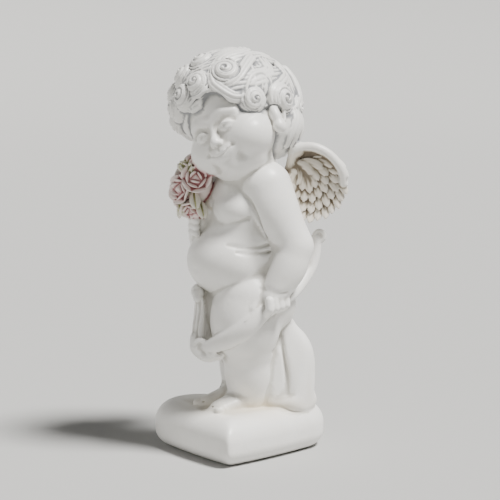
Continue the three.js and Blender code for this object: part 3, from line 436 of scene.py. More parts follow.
lock([(2, 6), (10, 8), (20, 14), (26, 24)], [1, 1.8, 2, 1], 0)
lock([(100, 20), (98, 6), (86, -2), (74, -8), (72, -20), (80, -27)], [3, 4, 3.8, 3.2, 2.6, 1.4], 2)
lock([(118, 16), (118, 0), (116, -14), (106, -25), (94, -29)], [4, 5, 5, 4, 2], 2.6)
for i in range(5):
    a = 100 + 9 * i
    lock(
        [(a - 4, -22), (a + 5, -34), (a - 2, -46), (a + 5, -58), (a, -70)], [2.4, 3.2, 3.4, 2.8, 1.2],
        0.6 + 0.4 * (i % 2),
    )
trim_hair(1, 3.0)
hair.ball((7, -32, 9), (9.5, 20, 13), 1.5, cut=True)  # the peak over the left eye
hair.ball((6, 18, -6), (26, 22, 17), 3)  # the hair behind the ears
for one in SNAILS[:OVER_FOREHEAD]:
    snail(*one)
for i in range(11):
    stations, normals = [], []
    for s in np.linspace(0, 1, 9):
        a, e = math.radians(86 + 18.5 * i + 9 * math.sin(5 * s + i)), math.radians(44 - 96 * s)
        way = np.array((math.sin(a) * math.cos(e), -math.cos(a) * math.cos(e), math.sin(e)))
        stations.append([*(way * (26, 22, 17) + (6, 18, -6)), 5.6 - 2.6 * s])
        normals.append(way)
    hair.strand(smooth_path(stations, 20), 1, flat=unit(normals[4]), squash=0.5, groove=(2.9, 0.5))
head.join(hair, 0.4)

# The plinth ---------------------------------------------------------------------------------------
# A thick heart with rolled edges, cast in one with the figure. Its point is turned to the figure's left
# and it is flat below.
PLINTH_HEIGHT = 27.5
GROUND = PLINTH_HEIGHT - 1
LOBE, SPREAD, BACK, REACH = 28.0, 24.5, 13.5, 59.5
TOP_ROLL, BOTTOM_ROLL = 13.5, 10.0
HEART_TURN = math.radians(50)


def heart_plan(x, y):
    """Distance in plan to the heart's outline, negative inside."""
    c, s = math.cos(HEART_TURN), math.sin(HEART_TURN)
    u, v = np.hypot(c * x + s * y, 1.6), -s * x + c * y
    lobe = np.hypot(u - SPREAD, v - BACK) - LOBE
    reach = math.hypot(SPREAD, REACH + BACK)
    lean = math.asin(LOBE / reach) + math.atan2(SPREAD, REACH + BACK)
    nx, ny = math.cos(lean), -math.sin(lean)
    along = -ny * u + nx * (v + REACH)
    length = math.sqrt(reach**2 - LOBE**2)
    side = nx * u + ny * (v + REACH) - 1.6 * np.sin(np.pi * np.clip(along / length, 0, 1))
    return np.where((along < length) & ((v < BACK) | (u > SPREAD)), side, lobe)


body = Clay((-56, -50, -3), (56, 58, 252))
part, (x, y, z) = body.window((-60, -50, -3), (60, 66, 40))
plan = heart_plan(x, y)
bend = np.where(z > PLINTH_HEIGHT / 2, TOP_ROLL, BOTTOM_ROLL)
a, b = plan + bend, np.abs(z - PLINTH_HEIGHT / 2) - PLINTH_HEIGHT / 2 + bend
slab = np.minimum(np.maximum(a, b), 0) + np.hypot(np.maximum(a, 0), np.maximum(b, 0)) - bend
body.press(part, slab.astype(np.float32), 1)

# The legs and feet --------------------------------------------------------------------------------
# Fat child's legs, the left one carrying the weight and the right one a little behind it, on short
# broad feet sunk into the plinth's top.
body.strand(smooth_path([(11.5, 0, 94, 20.5), (12, -2, 80, 21.5), (11.5, -1, 67, 17)], 20), 2)
body.strand(smooth_path([(11.5, -0.5, 60, 14), (10.5, 0.5, 48, 14), (8.5, 2.5, 36, 11.6)], 20), 3.5)
body.strand(smooth_path([(-11, 5, 94, 19.5), (-10.5, 4, 80, 19.5), (-9.5, 6.5, 67, 15.5)], 20), 2)
body.strand(smooth_path([(-9, 8, 60, 13.5), (-9, 9, 48, 13), (-9, 9.5, 36, 11.5)], 20), 3.5)
# Back of the knee.
body.strand(smooth_path([(23, 9, 63.5, 0.8), (15, 14, 61.5, 1.5), (4, 14, 61, 1.2)], 20), 3, cut=True)


def foot(heel, toe_line, side):
    ahead = unit((toe_line[0] - heel[0], toe_line[1] - heel[1], 0))
    across = np.array([-ahead[1], ahead[0], 0]) * side
    body.ball((heel[0], heel[1] + 1, GROUND + 8), (11, 12, 10), 3)
    middle = [heel[k] + 0.6 * (toe_line[k] - heel[k]) for k in range(2)]
    sole = [
        (heel[0], heel[1] - 3, GROUND + 6.5, 9),
        (*middle, GROUND + 4.2, 8),
        (*toe_line, GROUND + 2.6, 7),
    ]
    body.strand(sole, 4, flat=(0, 0, 1), squash=0.72)
    for i in range(5):
        size = 2.9 - 0.34 * i
        spot = np.array([*toe_line, 0]) + across * (5 - 2.8 * i) + ahead * (5.4 - 0.36 * i * i)
        body.ball((spot[0], spot[1], GROUND + size * 0.85), (size, size * 1.15, size), 0.7)
        nail = spot + ahead * size * 0.75
        body.ball(
            (nail[0], nail[1], GROUND + size * 1.75), (size * 0.5, size * 0.45, size * 0.2), 0.6, cut=True
        )


foot((8, 3), (11, -19.5), 1)
foot((-9, 8.5), (-6.5, -15.5), -1)

# The body -----------------------------------------------------------------------------------------
# A round belly that runs up into a plump chest, with fat creases at the flank and a deep fold where the
# belly rests on the thighs.
body.ball((0, 7, 95), (28, 22, 17), 4)  # hips
body.ball((13, 6, 95), (19.5, 20, 18), 5)
body.ball((-12.5, 8, 95), (18.5, 19, 17), 5)
body.ball((13, 14, 90), (16.5, 17, 17), 4)  # buttocks
body.ball((-12, 16, 90), (16, 16, 16.5), 2.5)
torso = Clay((-40, -40, 80), (44, 36, 204))
torso.ball((0, 3, 134), (26, 20.5, 14), 6)
torso.ball((1, 2, 149), (26, 20, 20), 8)  # rib cage
torso.ball((0, 11, 160), (24, 12, 14), 8)  # shoulder blades
torso.ball((-1.5, -4.5, 116.5), (27.5, 25.5, 22), 9, turn=(-0.1, 0, 0))  # belly
torso.ball((20, 6, 124), (10, 10, 15), 5)  # the flank beside the arm
torso.ball((11.5, -10.5, 149.5), (11.5, 8.6, 8.8), 2.6, turn=(0, 0, 0.5))  # breasts
torso.ball((-10, -10.5, 149.5), (11.5, 8.6, 8.8), 2.6, turn=(0, 0, -0.5))
torso.strand([(2, 6, 160, 18), (2.5, 3, 172, 15.5), (2, 3, 184, 14)], 8)  # neck
torso.ball((-1.5, -31.5, 112.5), (1.8, 2.6, 1.8), 2, cut=True)  # navel
for crease in (
    [
        (17, -18.4, 128.8, 0.2), (22.5, -12.6, 127.6, 0.8), (26.2, -5.5, 127.4, 1), (27.8, 3, 128.6, 0.9),
        (27.5, 9, 130, 0.6),
    ],
    [
        (21.5, -15, 124.6, 0.2), (24.4, -11.2, 124, 0.6), (26.8, -5.5, 123.8, 0.9), (28, 2, 124.2, 0.9),
        (28, 8, 125.4, 0.5),
    ],
    [
        (5, -20.5, 150, 0.4), (7.5, -20, 145, 0.9), (13, -18.8, 142, 1.2), (19, -13.6, 142.4, 1.1),
        (23, -8, 144.6, 0.5),
    ],
):
    torso.strand(smooth_path(crease, 24), 2.2, cut=True)
body.join(torso, 2.5)

# The left arm and the bow -------------------------------------------------------------------------
# The arm hangs down to a fist that holds a recurve bow at its grip. The bow is cast in one with the
# hand and the thigh, and both its tips roll up in scrolls.
body.strand(
    smooth_path(
        [(19, 7.5, 162.5, 16), (23.5, 9.5, 151, 15.6), (29.5, 14, 138, 13), (34.5, 18, 128, 11.4)], 24
    ),
    1.6,
)
body.strand(smooth_path([(34.5, 17.5, 126, 11.2), (35, 13, 115, 11), (33.5, 7, 104, 9)], 20), 2.6)
# Armpit.
body.strand(
    smooth_path(
        [(20, -10, 160, 0.3), (24.5, -6, 154, 0.9), (27.5, -3, 146, 0.9), (28.5, 3, 134, 0.5)], 20
    ),
    2.4, cut=True,
)
# Crook.
body.strand(smooth_path([(24.5, 3, 133, 0.6), (26, 8, 127, 1.2), (30, 12, 124, 0.8)], 20), 2, cut=True)
# Wrist.
body.strand(
    smooth_path(
        [(31, -3.5, 102.6, 0.4), (36, -3, 101.2, 0.8), (40.5, 1, 100.6, 0.8), (42, 7, 101.4, 0.5)], 24
    ),
    1.8, cut=True,
)
BOW = [
    (24.5, 41.5, 132, 2),
    (26, 41, 124, 2.8),
    (26.5, 36, 112, 3.6),
    (30, 22.5, 100.5, 3.8),
    (34, 9, 95, 3.8),
    (32.5, -3, 90, 5.4),
    (27, -13, 80, 6.6),
    (18, -20, 72.5, 6),
    (8, -24, 67.5, 4.4),
    (1, -26, 65.5, 3),
]
body.strand(smooth_path(BOW, 60), 0.8, flat=(0.82, -0.45, 0.3), squash=0.75)
body.strand(spiral((25.5, 43, 131.5), (0.82, -0.57, 0), 4, 1.5, 1.9, 2), 0.8)
body.strand(spiral((1, -27, 66), (0.5, -0.85, 0), 4, 1.5, 1.9, 1, -1), 0.8)
body.strand(spiral((8.2, -24.4, 64.4), (0.5, -0.85, 0), 3, 1.3, 1.5, 1, 1), 0.6)
body.ball((33, 4.5, 98), (7.6, 9, 7.8), 1.5, turn=(0.35, 0, 0))  # fist
for i in range(4):
    back = -4.5 + 4 * i
    low = 1 - 0.06 * abs(i - 1.2)
    finger = [
        (38, back + 1.5, 96.5, 2.6), (39.3, back + 1, 91.5 + i * 0.6, 2.5),
        (36, back + 0.6, 87.6 + i * 0.9 + low, 2.3),
    ]
    body.strand(finger, 0.6)
body.strand(
    smooth_path([(31, 0.5, 99, 3.3), (29.5, -5.5, 95, 2.8), (29.8, -9, 91.5, 2.3)], 8), 1
)  # thumb

# The right arm ------------------------------------------------------------------------------------
# The arm is bent up, and its fist holds the posy's stems against the chest.
body.strand(
    smooth_path([(-20, 7, 163, 13.5), (-25.5, 7, 148, 12.6), (-30.5, 6, 132, 11), (-32, 3, 123, 10)], 24),
    2,
)
body.strand(smooth_path([(-32, 2, 123, 10), (-25, -8, 129, 9), (-14.5, -14.5, 136, 7.4)], 20), 2.2)
body.strand([(-12, -18.5, 146, 5), (-12, -18.5, 138, 4.4), (-11, -19.5, 128, 2.6)], 1)  # stems
body.ball((-12.5, -17, 140), (7, 6.5, 8), 1.2)
for i in range(4):
    height = 146 - 3.7 * i
    finger = [
        (-18, -17.5, height, 2.5), (-15.5, -22.8, height - 0.2, 2.4), (-8.5, -24, height - 0.8, 2.2)
    ]
    body.strand(finger, 0.6)

# The cloth ----------------------------------------------------------------------------------------
# A cloth is caught round the right hip, falls in heavy folds behind the legs to the plinth, and its
# free end hangs in front of the thighs to the bow's tip. It is carved in the same clay.
cloth = Clay((-56, -50, 12), (56, 58, 110))
cloth.strand(smooth_path([(2, 18, 87, 10), (3, 19, 68, 14), (3, 20.5, 48, 19), (3, 21, 32, 21)], 12), 3)
cloth.ball((1, 26, 42), (24, 17.5, 40), 5)
cloth.strand(
    smooth_path([(18, 26, 78, 3), (20, 26, 62, 5.4), (22, 26, 47, 7), (22.5, 25, 33, 7.6)], 20), 4
)
for fold in (
    [(18, 23, 78, 2.4), (18.5, 22.5, 70, 3.2), (18.5, 20, 58, 3.8), (18, 17, 44, 4.2), (19, 15.5, 31, 5)],
    [
        (17, 27, 76, 3), (20.5, 31.5, 67, 5.6), (23.5, 33, 56, 7.6), (25, 32.5, 44, 8.6),
        (25.5, 30.5, 32, 8.6),
    ],
    [(7, 31, 76, 4), (9, 37, 62, 6), (11, 39.5, 46, 7.4), (12, 40, 32, 8)],
    [(-6, 30, 76, 4), (-7, 36, 62, 6), (-8, 39.5, 46, 7.2), (-9, 40, 32, 8)],
    [(-16, 26, 78, 4), (-20, 29, 62, 5.6), (-22, 30, 46, 6.6), (-22, 31, 32, 7)],
    [(20, 15, 29, 3.4), (27.5, 21, 29.5, 4), (29.5, 30, 29.5, 4.4), (22, 40, 29, 4.4), (8, 45, 29, 4)],
    [(-27, 4, 98, 5), (-20, -14, 97, 4.6), (-11, -21.5, 97, 3.8), (-6, -24.5, 97.5, 3)],
    [(-26, 6, 97, 5), (-25, 12, 80, 6), (-22, 18, 58, 6), (-20, 26, 36, 6)],
    [(-22, -8, 96, 4.5), (-20, -6, 80, 6), (-15, -6, 68, 5)],
):
    cloth.strand(smooth_path(fold, 24), 3.6)
for hollow_line in (
    [(20, 18.5, 70, 0.3), (22, 19.5, 58, 0.7), (25, 19.5, 46, 0.8), (27, 18, 36, 0.3)],
    [(14, 38, 72, 0.5), (17.5, 42, 56, 1.4), (19, 44, 40, 1.2)],
    [(0, 36, 72, 0.5), (1, 43, 54, 1.4), (1, 46, 38, 1.2)],
):
    cloth.strand(smooth_path(hollow_line, 16), 3, cut=True)
cloth.strand([(-5, -26.5, 98, 2.8), (-3.6, -27, 95, 2.4)], 1.2)  # the knot in front
front = (0.35, -0.94, 0)
cloth.strand(
    smooth_path([(-4, -25, 95, 2.6), (-5, -24.5, 86, 3.4), (-5.5, -25, 76, 4.8), (-4, -25.5, 68, 5)], 20),
    1, flat=front, squash=0.6, groove=(2.6, 0.9),
)
cloth.strand(smooth_path([(-14, -17, 95, 3.6), (-14, -16, 80, 5.6), (-10, -18, 67, 5)], 20), 1.6)
cloth.strand(
    smooth_path(
        [(-6, -26.5, 70, 4), (-3.5, -27.5, 63.5, 4.4), (3, -24.5, 60, 4.4), (9, -20, 60.5, 3.2)], 16
    ),
    1.2, flat=(0, 0.3, 1), squash=0.75, groove=(3, 0.7),
)
part, (x, y, z) = cloth.window((-60, -50, 12), (60, 66, 110))
beyond = (-(heart_plan(x, y) + 3) + 0 * z).astype(np.float32)
cloth.press(part, beyond, 3, cut=True)
body.join(cloth, 1.5)

# The wings ----------------------------------------------------------------------------------------
# Short cupped wings on the shoulder blades, each with a thick rolled rim and rows of feathers that
# overlap like tiles. They are modelled with x out from the root and the cupped face along -y.
WING_AT = np.array([12.0, 25.0, 164.0])
SWEEP = math.radians(38)
HUB_X, HUB_Z, FAN = 15.6, 1.0, 23.5
BEND = np.array([-8.0, 12.0])  # where the feathers fan out from, from the hub
out, back = (math.sin(SWEEP), math.cos(SWEEP), 0), (-math.cos(SWEEP), math.sin(SWEEP), 0)
left_pose = np.array([out, back, (0, 0, 1)]).T
mirror = np.diag([-1.0, 1, 1])


def on_fan(degrees, reach, lift, radius):
    """A station over the dished fan, at a direction and a distance from its hub."""
    a = math.radians(degrees)
    return (
        HUB_X + reach * math.cos(a),
        3 - 6.5 * (reach / FAN) ** 2 - lift,
        HUB_Z + reach * math.sin(a),
        radius,
    )


wings = []
for pose, place in ((left_pose, WING_AT), (mirror @ left_pose, mirror @ WING_AT)):
    side = 1 if place[0] > 0 else -1
    near, far = (4, 52) if side > 0 else (-52, -4)
    wing = Clay((near, 5, 130), (far, 53, 204), pose, place)
    wing.strand([(-5, 1, -8, 7), (3, 1.5, -2, 7.5), (7, 1, 6, 5)], 3)
    for angle in range(100, -111, -30):
        wing.strand(
            [on_fan(angle, 4, -1.5, 8), on_fan(angle, FAN * 0.72, -0.8, 7)], 2, flat=(0, 1, 0),
            squash=0.28,
        )
    for count, root, reach, half, root_lift, tip_lift, first, last in (
        # feathers, how far along from the bend the roots are, reach of the tips, half width,
        # how far each end stands forward, first and last direction
        (13, 0.5, 1.0, 2.9, 0.4, 1.7, 20, -122),
        (11, 0.35, 0.76, 2.9, 1.6, 3.4, 34, -134),
        (9, 0.2, 0.5, 2.8, 2.8, 4.8, 46, -150),
        (6, 0.1, 0.24, 2.6, 4, 5.6, 60, -170),
    ):
        for i in range(count):
            angle = math.radians(first + (last - first) * i / (count - 1))
            tip = np.array((math.cos(angle), math.sin(angle))) * FAN * (reach + 0.03 * (i % 2))
            source = BEND + (tip - BEND) * root
            sweep = np.array((tip[1] - BEND[1], BEND[0] - tip[0])) * -0.1
            stations = []
            for s, wide in ((0, 0.6), (0.35, 0.95), (0.7, 1), (0.92, 0.82), (1, 0.55)):
                u, v = source + (tip - source) * s + sweep * math.sin(math.pi * s)
                lift = root_lift + (tip_lift - root_lift) * s
                stations.append(
                    on_fan(math.degrees(math.atan2(v, u)), math.hypot(u, v), lift, half * wide)
                )
            wing.strand(smooth_path(stations, 14), 0.25, flat=(0, 1, 0), squash=0.32, groove=(2.1, 0.22))
    rim = [(0, 0.5, 0, 5)]
    for angle, reach, lift, radius in (
        (150, 12, 0.5, 4), (
            112, 19.5, 1.5, 3.3
        ), (82, 21, 2.2, 3), (50, 20.8, 2.4, 2.9), (18, 21.8, 2.2, 2.7), (-4, 22, 1.6, 2)
    ):
        rim.append(on_fan(angle, reach, lift, radius))
    wing.strand(smooth_path(rim, 24), 1)
    wing.ball((9, -2, 20), (5, 4, 4.5), 2)  # the bend of the wing
    body.join(wing, 2)
    wings.append(wing)

# The posy -----------------------------------------------------------------------------------------
# Seven roses and a few leaves, held against the right breast and shoulder. Every petal is a thin lip of
# clay round a scored bud.
POSY = np.array([-15.0, -19.5, 161.5])
ROSES = [
    # offset from the posy's middle, the way the rose looks, radius
    ((9, -6, 6), (0.75, -0.6, 0.25), 8.6),
    ((-1, -10, -1), (0.1, -1, 0.05), 8.4),
    ((-9.5, -3, 5), (-0.8, -0.5, 0.3), 7.6),
    ((0, -2, 14), (0.1, -0.6, 0.8), 7.4),
    ((-8, -4, -11), (-0.6, -0.6, -0.5), 7.6),
    ((4, -6, -13), (0.5, -0.6, -0.6), 6.8),
    ((-9, 5, -4), (-1, 0.1, 0), 7.6),
]
posy = Clay((-40, -46, 130), (12, 2, 192))
leaves = Clay((-40, -46, 130), (12, 2, 192))
posy.ball(POSY + (-1, 2, 0), (11, 8, 15), 2)
LEAVES = [
    # from and to, out from the posy's middle, and the way the leaf faces
    ((2, -6, 9), (-8, -7, 14), (0, -0.8, 0.6)),
    ((2, -6, 8), (9, -9, 14), (0.4, -0.8, 0.4)),
    ((6, -6, -2), (12, -8, -12), (0.8, -0.6, 0)),
    ((-4, -8, 2), (-13, -6, -1), (-0.5, -0.8, 0.2)),
    ((-2, -8, -8), (-4, -9, -19), (-0.2, -1, -0.2)),
    ((8, -3, -8), (14, -4, -18), (0.9, -0.4, 0)),
    ((-8, 0, 8), (-15, 2, 13), (-0.9, -0.2, 0.4)),
]
for start, end, facing in LEAVES:
    start, end, facing = POSY + start, POSY + end, unit(facing)
    blade = [
        (*(start + (end - start) * s + facing * 1.6 * math.sin(2.6 * s)), r)
        for s, r in ((0, 1.2), (0.3, 3.2), (0.6, 3.4), (0.85, 1.9), (1, 0.5))
    ]
    leaves.strand(smooth_path(blade, 8), 0.3, flat=facing, squash=0.3)
    vein = [
        (*(facing[k] * (station[3] * 0.3 + 0.2) + station[k] for k in range(3)), 0.65) for station in blade
    ]
    leaves.strand(smooth_path(vein, 12), 0.3, cut=True)
shuffle = np.random.default_rng(7)
for offset, facing, radius in ROSES:
    middle, axis = POSY + offset, unit(facing)
    east = unit(np.cross((0, 0, 1), axis))
    north = np.cross(axis, east)
    posy.ball(middle - axis * radius * 0.25, (radius * 0.75,) * 3, 0.6)
    for ring, (count, out, lean, tall, wide) in enumerate(
        ((5, 0.74, 0.8, 0.5, 0.62), (5, 0.5, 0.35, 0.5, 0.45), (3, 0.27, 0.1, 0.5, 0.32))
    ):
        for i in range(count):
            a = 2 * math.pi * (i + 0.5 * ring + 0.25 * shuffle.random()) / count + radius
            radial = east * math.cos(a) + north * math.sin(a)
            outward = unit(radial - (lean + 0.25 * shuffle.random()) * axis)
            along = np.cross(axis, radial) + radial * 0.42
            tangent = unit(along - outward * (along @ outward))
            spot = middle + radial * out * radius + axis * radius * (0.08 + 0.1 * ring)
            posy.ball(
                spot, (0.8, radius * wide, radius * tall), 0.2,
                axes=(outward, tangent, np.cross(outward, tangent)),
            )
    posy.strand(
        spiral(middle + axis * radius * 0.16, axis, radius * 0.2, 1.3, 0.7, radius, rise=radius * 0.25),
        0.2,
    )
posy.join(leaves, 0.3)
body.join(posy, 0.6)
body.join(head, 1.2)

part, (x, y, z) = body.window((-60, -50, -3), (60, 66, 12))
body.press(part, (z + 0 * x + 0 * y).astype(np.float32), 0.2, cut=True)  # flat underside


# The casting --------------------------------------------------------------------------------------
# One casting in white resin stone. The skin of all the clay is taken at once, and with it the skins of
# small sealed pockets that the fillets leave inside. Validating drops doubled faces and opens some edges.
def skin(clay, name, most):
    """The clay's surface as a mesh object, thinned to at most so many triangles."""
    grid = openvdb.FloatGrid(FAR)
    grid.copyFromArray(np.clip(clay.depth, -3 * CELL, 3 * CELL))
    points, quads = grid.convertToQuads()
    mesh = bpy.data.meshes.new(name)
    mesh.vertices.add(len(points))
    mesh.vertices.foreach_set("co", ((points + clay.first) * CELL * MM).astype(np.float32).ravel())
    mesh.loops.add(4 * len(quads))
    mesh.loops.foreach_set("vertex_index", quads.astype(np.int32).ravel())
    mesh.polygons.add(len(quads))
    mesh.polygons.foreach_set("loop_start", np.arange(0, 4 * len(quads), 4, dtype=np.int32))
    mesh.update(calc_edges=True)
    piece = bpy.data.objects.new(name, mesh)
    bpy.context.scene.collection.objects.link(piece)
    bpy.context.view_layer.objects.active = piece
    piece.select_set(True)
    if 2 * len(quads) > most:
        thin = piece.modifiers.new("thin", "DECIMATE")
        thin.ratio = most / (2 * len(quads))
        bpy.ops.object.modifier_apply(modifier=thin.name)
    mesh.validate()
    return piece


casting = skin(body, "cherub_casting", 198000)
bpy.ops.object.shade_smooth()
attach(casting, "root")
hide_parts("cherub_statue")

# The paint ----------------------------------------------------------------------------------------
# The bare casting is satin off-white. Painted shade darkens its hollows: warm grey on the skin, cool
# grey in the hair, dark brown in the wings, dark pink in the roses and dark olive in the leaves. The
# hair is faintly grey, the cupped faces of the wings are beige, the ridges of the petals, leaves and
# feathers are paler, and there is warm beige paint round the feet. The roses are dusty pink and the
# leaves olive.
count = len(casting.data.vertices)
spots = np.empty(3 * count, np.float32)
normals = np.empty(3 * count, np.float32)
casting.data.vertices.foreach_get("co", spots)
casting.data.vertices.foreach_get("normal", normals)
spots, normals = spots.reshape(-1, 3) / MM, normals.reshape(-1, 3)
ends = np.empty(2 * len(casting.data.edges), np.int32)
casting.data.edges.foreach_get("vertices", ends)
ends = ends.reshape(-1, 2)
links = np.bincount(ends.ravel(), minlength=count)


def hollow(rounds, depth):
    """How far each point lies below its surroundings, as a share of a depth; ridges are negative."""
    eased = spots.copy()
    for _ in range(rounds):
        sums = [
            np.bincount(ends[:, 0], eased[ends[:, 1], k], count)
            + np.bincount(ends[:, 1], eased[ends[:, 0], k], count)
            for k in range(3)
        ]
        eased = np.stack([total / links for total in sums], 1)
    return np.clip(((eased - spots) * normals).sum(1) / depth, -1, 1)


def on_clay(clay, reach=0.9):
    """1 where the casting's skin is that of one clay, 0 away from it."""
    index = np.round(spots / CELL).astype(int) - clay.first
    inside = ((index >= 0) & (index < clay.depth.shape)).all(1)
    index = np.clip(index, 0, np.array(clay.depth.shape) - 1)
    depth = clay.depth[tuple(index.T)]
    return np.where(inside, np.clip(1.6 - np.abs(depth) / reach, 0, 1), 0)


def feather_face(wing):
    """1 on the cupped face of a wing, inside its rim."""
    own = (spots - wing.place) @ wing.pose
    out, up = own[:, 0] - HUB_X, own[:, 2] - HUB_Z
    reach, angle = np.hypot(out, up), np.degrees(np.arctan2(up, out))
    front = np.clip(0.6 + (3 - 6.5 * (reach / FAN) ** 2 - own[:, 1]) / 1.2, 0, 1)
    rim = np.where((angle > -8) & (reach > 0.8 * FAN), 0.15, 1)
    return on_clay(wing) * front * rim * (reach < 1.2 * FAN)


def keep(name, values):
    casting.data.attributes.new(name, "FLOAT", "POINT").data.foreach_set(
        "value", values.astype(np.float32)
    )


petal, leaf, tress = on_clay(posy), on_clay(leaves), on_clay(hair)
petal = petal * (1 - leaf) * (spots[:, 2] > 143)
feather = sum(feather_face(wing) for wing in wings)
# Painted shade: each point is darkened by how far it lies below its smoothed surroundings.
painted_shade = np.clip(hollow(6, 0.12) * 0.7 + hollow(40, 0.6) * 0.7, 0, 1)
low = np.clip(1 - np.abs(spots[:, 2] - GROUND - 2.5) / 8, 0, 1)
keep("painted_shade", painted_shade)
keep("near_ground", low * np.clip(1.1 - np.hypot(spots[:, 0] - 2, spots[:, 1] - 6) / 46, 0, 1))
for name, cover in (("hair", tress), ("feather", feather), ("petal", petal), ("leaf", leaf)):
    keep(name, cover)
    # Painted shade in the hollows of the hair, the wings, the petals and the leaves.
    keep(name + "_painted_shade", cover * painted_shade)
# Paler on the ridges of the petals, the leaves and the feathers.
keep("pale_ridges", np.clip(-hollow(3, 0.12), 0, 1) * np.clip(petal + leaf + feather * 0.6, 0, 1))


def linear(code):
    """An sRGB hex colour in linear values."""
    parts = [int(code[i : i + 2], 16) / 255 for i in (1, 3, 5)]
    return (*(c / 12.92 if c <= 0.04045 else ((c + 0.055) / 1.055) ** 2.4 for c in parts), 1)


def node(kind, settings=None, values=None, links=None):
    """Adds a node with its settings, its sockets' values and its links from (node, output)."""
    made = material.node_tree.nodes.new(kind)
    for key, value in (settings or {}).items():
        setattr(made, key, value)
    for key, value in (values or {}).items():
        made.inputs[key].default_value = value
    for key, (source, output) in (links or {}).items():
        material.node_tree.links.new(source.outputs[output], made.inputs[key])
    return made


# Cast resin stone, a polyester filled with marble dust: bright, dense and satin, with the faint
# unevenness of a cast skin, and painted shade that darkens every crease so that it reads.
material = bpy.data.materials.new("satin_cast_stone")
material.use_nodes = True
material.node_tree.nodes.clear()
spot_on = node("ShaderNodeTexCoord")
patches = node(
    "ShaderNodeTexNoise", {}, {"Scale": 1 / (9 * MM), "Detail": 3.0}, {"Vector": (spot_on, "Object")}
)
swells = node(
    "ShaderNodeTexNoise", {}, {"Scale": 1 / (3.5 * MM), "Detail": 2.0}, {"Vector": (spot_on, "Object")}
)
fine = node(
    "ShaderNodeTexNoise", {}, {"Scale": 1 / (0.9 * MM), "Detail": 2.0}, {"Vector": (spot_on, "Object")}
)
colour = node(
    "ShaderNodeMix", {"data_type": "RGBA"}, {6: linear("#f5f4f1"), 7: linear("#eae8e3")},
    {0: (patches, "Fac")},
)
for name, strength, code in (
    # painted shade in the hollows all over the casting
    ("painted_shade", 0.5, "#a39f93"),
    ("near_ground", 0.75, "#dfcfae"),
    ("hair", 0.12, "#c9c9c6"),
    # painted shade in the hair's hollows
    ("hair_painted_shade", 0.85, "#7f8186"),
    ("feather", 0.7, "#c9bda6"),
    # painted shade in the wings' hollows
    ("feather_painted_shade", 1.0, "#6f6352"),
    ("petal", 0.85, "#d79fa4"),
    # painted shade in the petals' hollows
    ("petal_painted_shade", 0.9, "#86504f"),
    ("leaf", 0.9, "#a3a25c"),
    # painted shade in the leaves' hollows
    ("leaf_painted_shade", 0.85, "#5f5f38"),
    # paler ridges on the petals, leaves and feathers
    ("pale_ridges", 0.75, "#f1ece5"),
):
    wash = node("ShaderNodeAttribute", {"attribute_name": name})
    # every layer, the painted shade too, is laid on patchily
    patchy = node("ShaderNodeMath", {"operation": "MULTIPLY_ADD"}, {1: 0.5, 2: 0.75}, {0: (patches, "Fac")})
    amount = node("ShaderNodeMath", {"operation": "MULTIPLY"}, {}, {0: (wash, "Fac"), 1: (patchy, "Value")})
    amount = node(
        "ShaderNodeMath", {"operation": "MULTIPLY", "use_clamp": True}, {1: strength},
        {0: (amount, "Value")},
    )
    colour = node(
        "ShaderNodeMix", {"data_type": "RGBA"}, {7: linear(code)}, {0: (amount, "Value"), 6: (colour, 2)}
    )
skin_bump = node(
    "ShaderNodeBump", {}, {"Strength": 0.22, "Distance": 0.12 * MM}, {"Height": (fine, "Fac")}
)
cast_bump = node(
    "ShaderNodeBump", {}, {"Strength": 0.35, "Distance": 0.3 * MM},
    {"Height": (swells, "Fac"), "Normal": (skin_bump, "Normal")},
)
# the painted-shade mask also makes the hollows a little rougher
hollows_mask = node("ShaderNodeAttribute", {"attribute_name": "painted_shade"})
sheen = node("ShaderNodeMath", {"operation": "MULTIPLY_ADD"}, {1: 0.08, 2: 0.34}, {0: (fine, "Fac")})
rough = node(
    "ShaderNodeMath", {"operation": "MULTIPLY_ADD"}, {1: 0.2}, {0: (hollows_mask, "Fac"), 2: (sheen, "Value")}
)
shader = node(
    "ShaderNodeBsdfPrincipled",
    {},
    {"IOR": 1.5},
    {"Base Color": (colour, 2), "Roughness": (rough, "Value"), "Normal": (cast_bump, "Normal")},
)
node("ShaderNodeOutputMaterial", {}, {}, {"Surface": (shader, "BSDF")})
casting.data.materials.append(material)

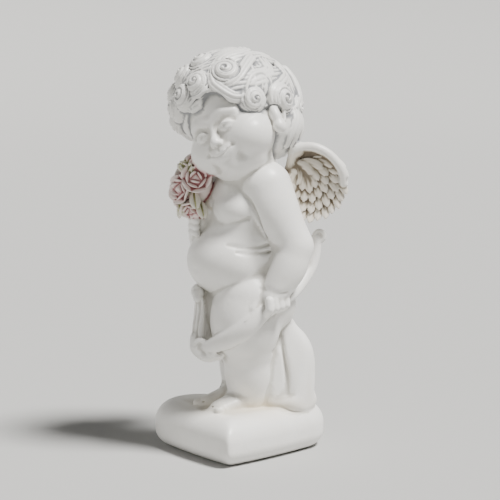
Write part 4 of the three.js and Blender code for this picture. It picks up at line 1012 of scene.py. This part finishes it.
# The floor and the light --------------------------------------------------------------------------
# A pale matt floor that curves up far behind, a broad soft light from above the right of the camera,
# and a weak one from the left.
SIDES = 96
profile = [(0.001, 0), (3, 0), (3.6, 0.05), (4.2, 0.25), (4.7, 0.7), (5, 1.5), (5.1, 2.5)]
turns = [2 * math.pi * i / SIDES for i in range(SIDES)]
rings = []
for inner in range(0, SIDES * (len(profile) - 1), SIDES):
    for i in range(SIDES):
        ahead = (i + 1) % SIDES
        rings.append((inner + i, inner + ahead, inner + SIDES + ahead, inner + SIDES + i))
floor_mesh = bpy.data.meshes.new("studio_floor")
floor_mesh.from_pydata(
    [(r * math.cos(a), r * math.sin(a), z) for r, z in profile for a in turns],
    [],
    rings + [tuple(range(SIDES))],
)
floor_mesh.polygons.foreach_set("use_smooth", [True] * len(floor_mesh.polygons))
floor = bpy.data.objects.new("studio_floor", floor_mesh)
bpy.context.scene.collection.objects.link(floor)
floor_paint = bpy.data.materials.new("matt_studio_floor")
floor_paint.use_nodes = True
floor_paint.node_tree.nodes["Principled BSDF"].inputs["Base Color"].default_value = (0.46, 0.46, 0.45, 1)
floor_paint.node_tree.nodes["Principled BSDF"].inputs["Roughness"].default_value = 0.9
floor.data.materials.append(floor_paint)

world = bpy.data.worlds.new("studio")
bpy.context.scene.world = world
world.use_nodes = True
world.node_tree.nodes["Background"].inputs["Color"].default_value = (0.93, 0.96, 1.0, 1)
world.node_tree.nodes["Background"].inputs["Strength"].default_value = 0.07


def soft_light(name, direction, distance, size, watts, colour=(1, 1, 1)):
    """A square light that looks at the figure's middle from a direction."""
    lamp = bpy.data.objects.new(name, bpy.data.lights.new(name, "AREA"))
    bpy.context.scene.collection.objects.link(lamp)
    lamp.data.size, lamp.data.energy, lamp.data.color = size, watts, colour
    away = unit(direction)
    east = unit(np.cross((0, 0, 1), away))
    turn = np.array([east, np.cross(away, east), away]).T
    lamp.location = away * distance + np.array((0, 0, 0.13))
    lamp.rotation_euler = mathutils.Matrix(turn.tolist()).to_euler()


sun = bpy.data.objects.new("key", bpy.data.lights.new("key", "SUN"))
bpy.context.scene.collection.objects.link(sun)
sun.data.energy, sun.data.angle, sun.data.color = 8.0, 0.26, (1.0, 0.985, 0.96)
sun.rotation_euler = mathutils.Vector((0.5, 0.3, 1.1)).to_track_quat("Z", "Y").to_euler()
soft_light("fill", (-0.5, -1.0, 0.5), 1.6, 1.2, 1.5)
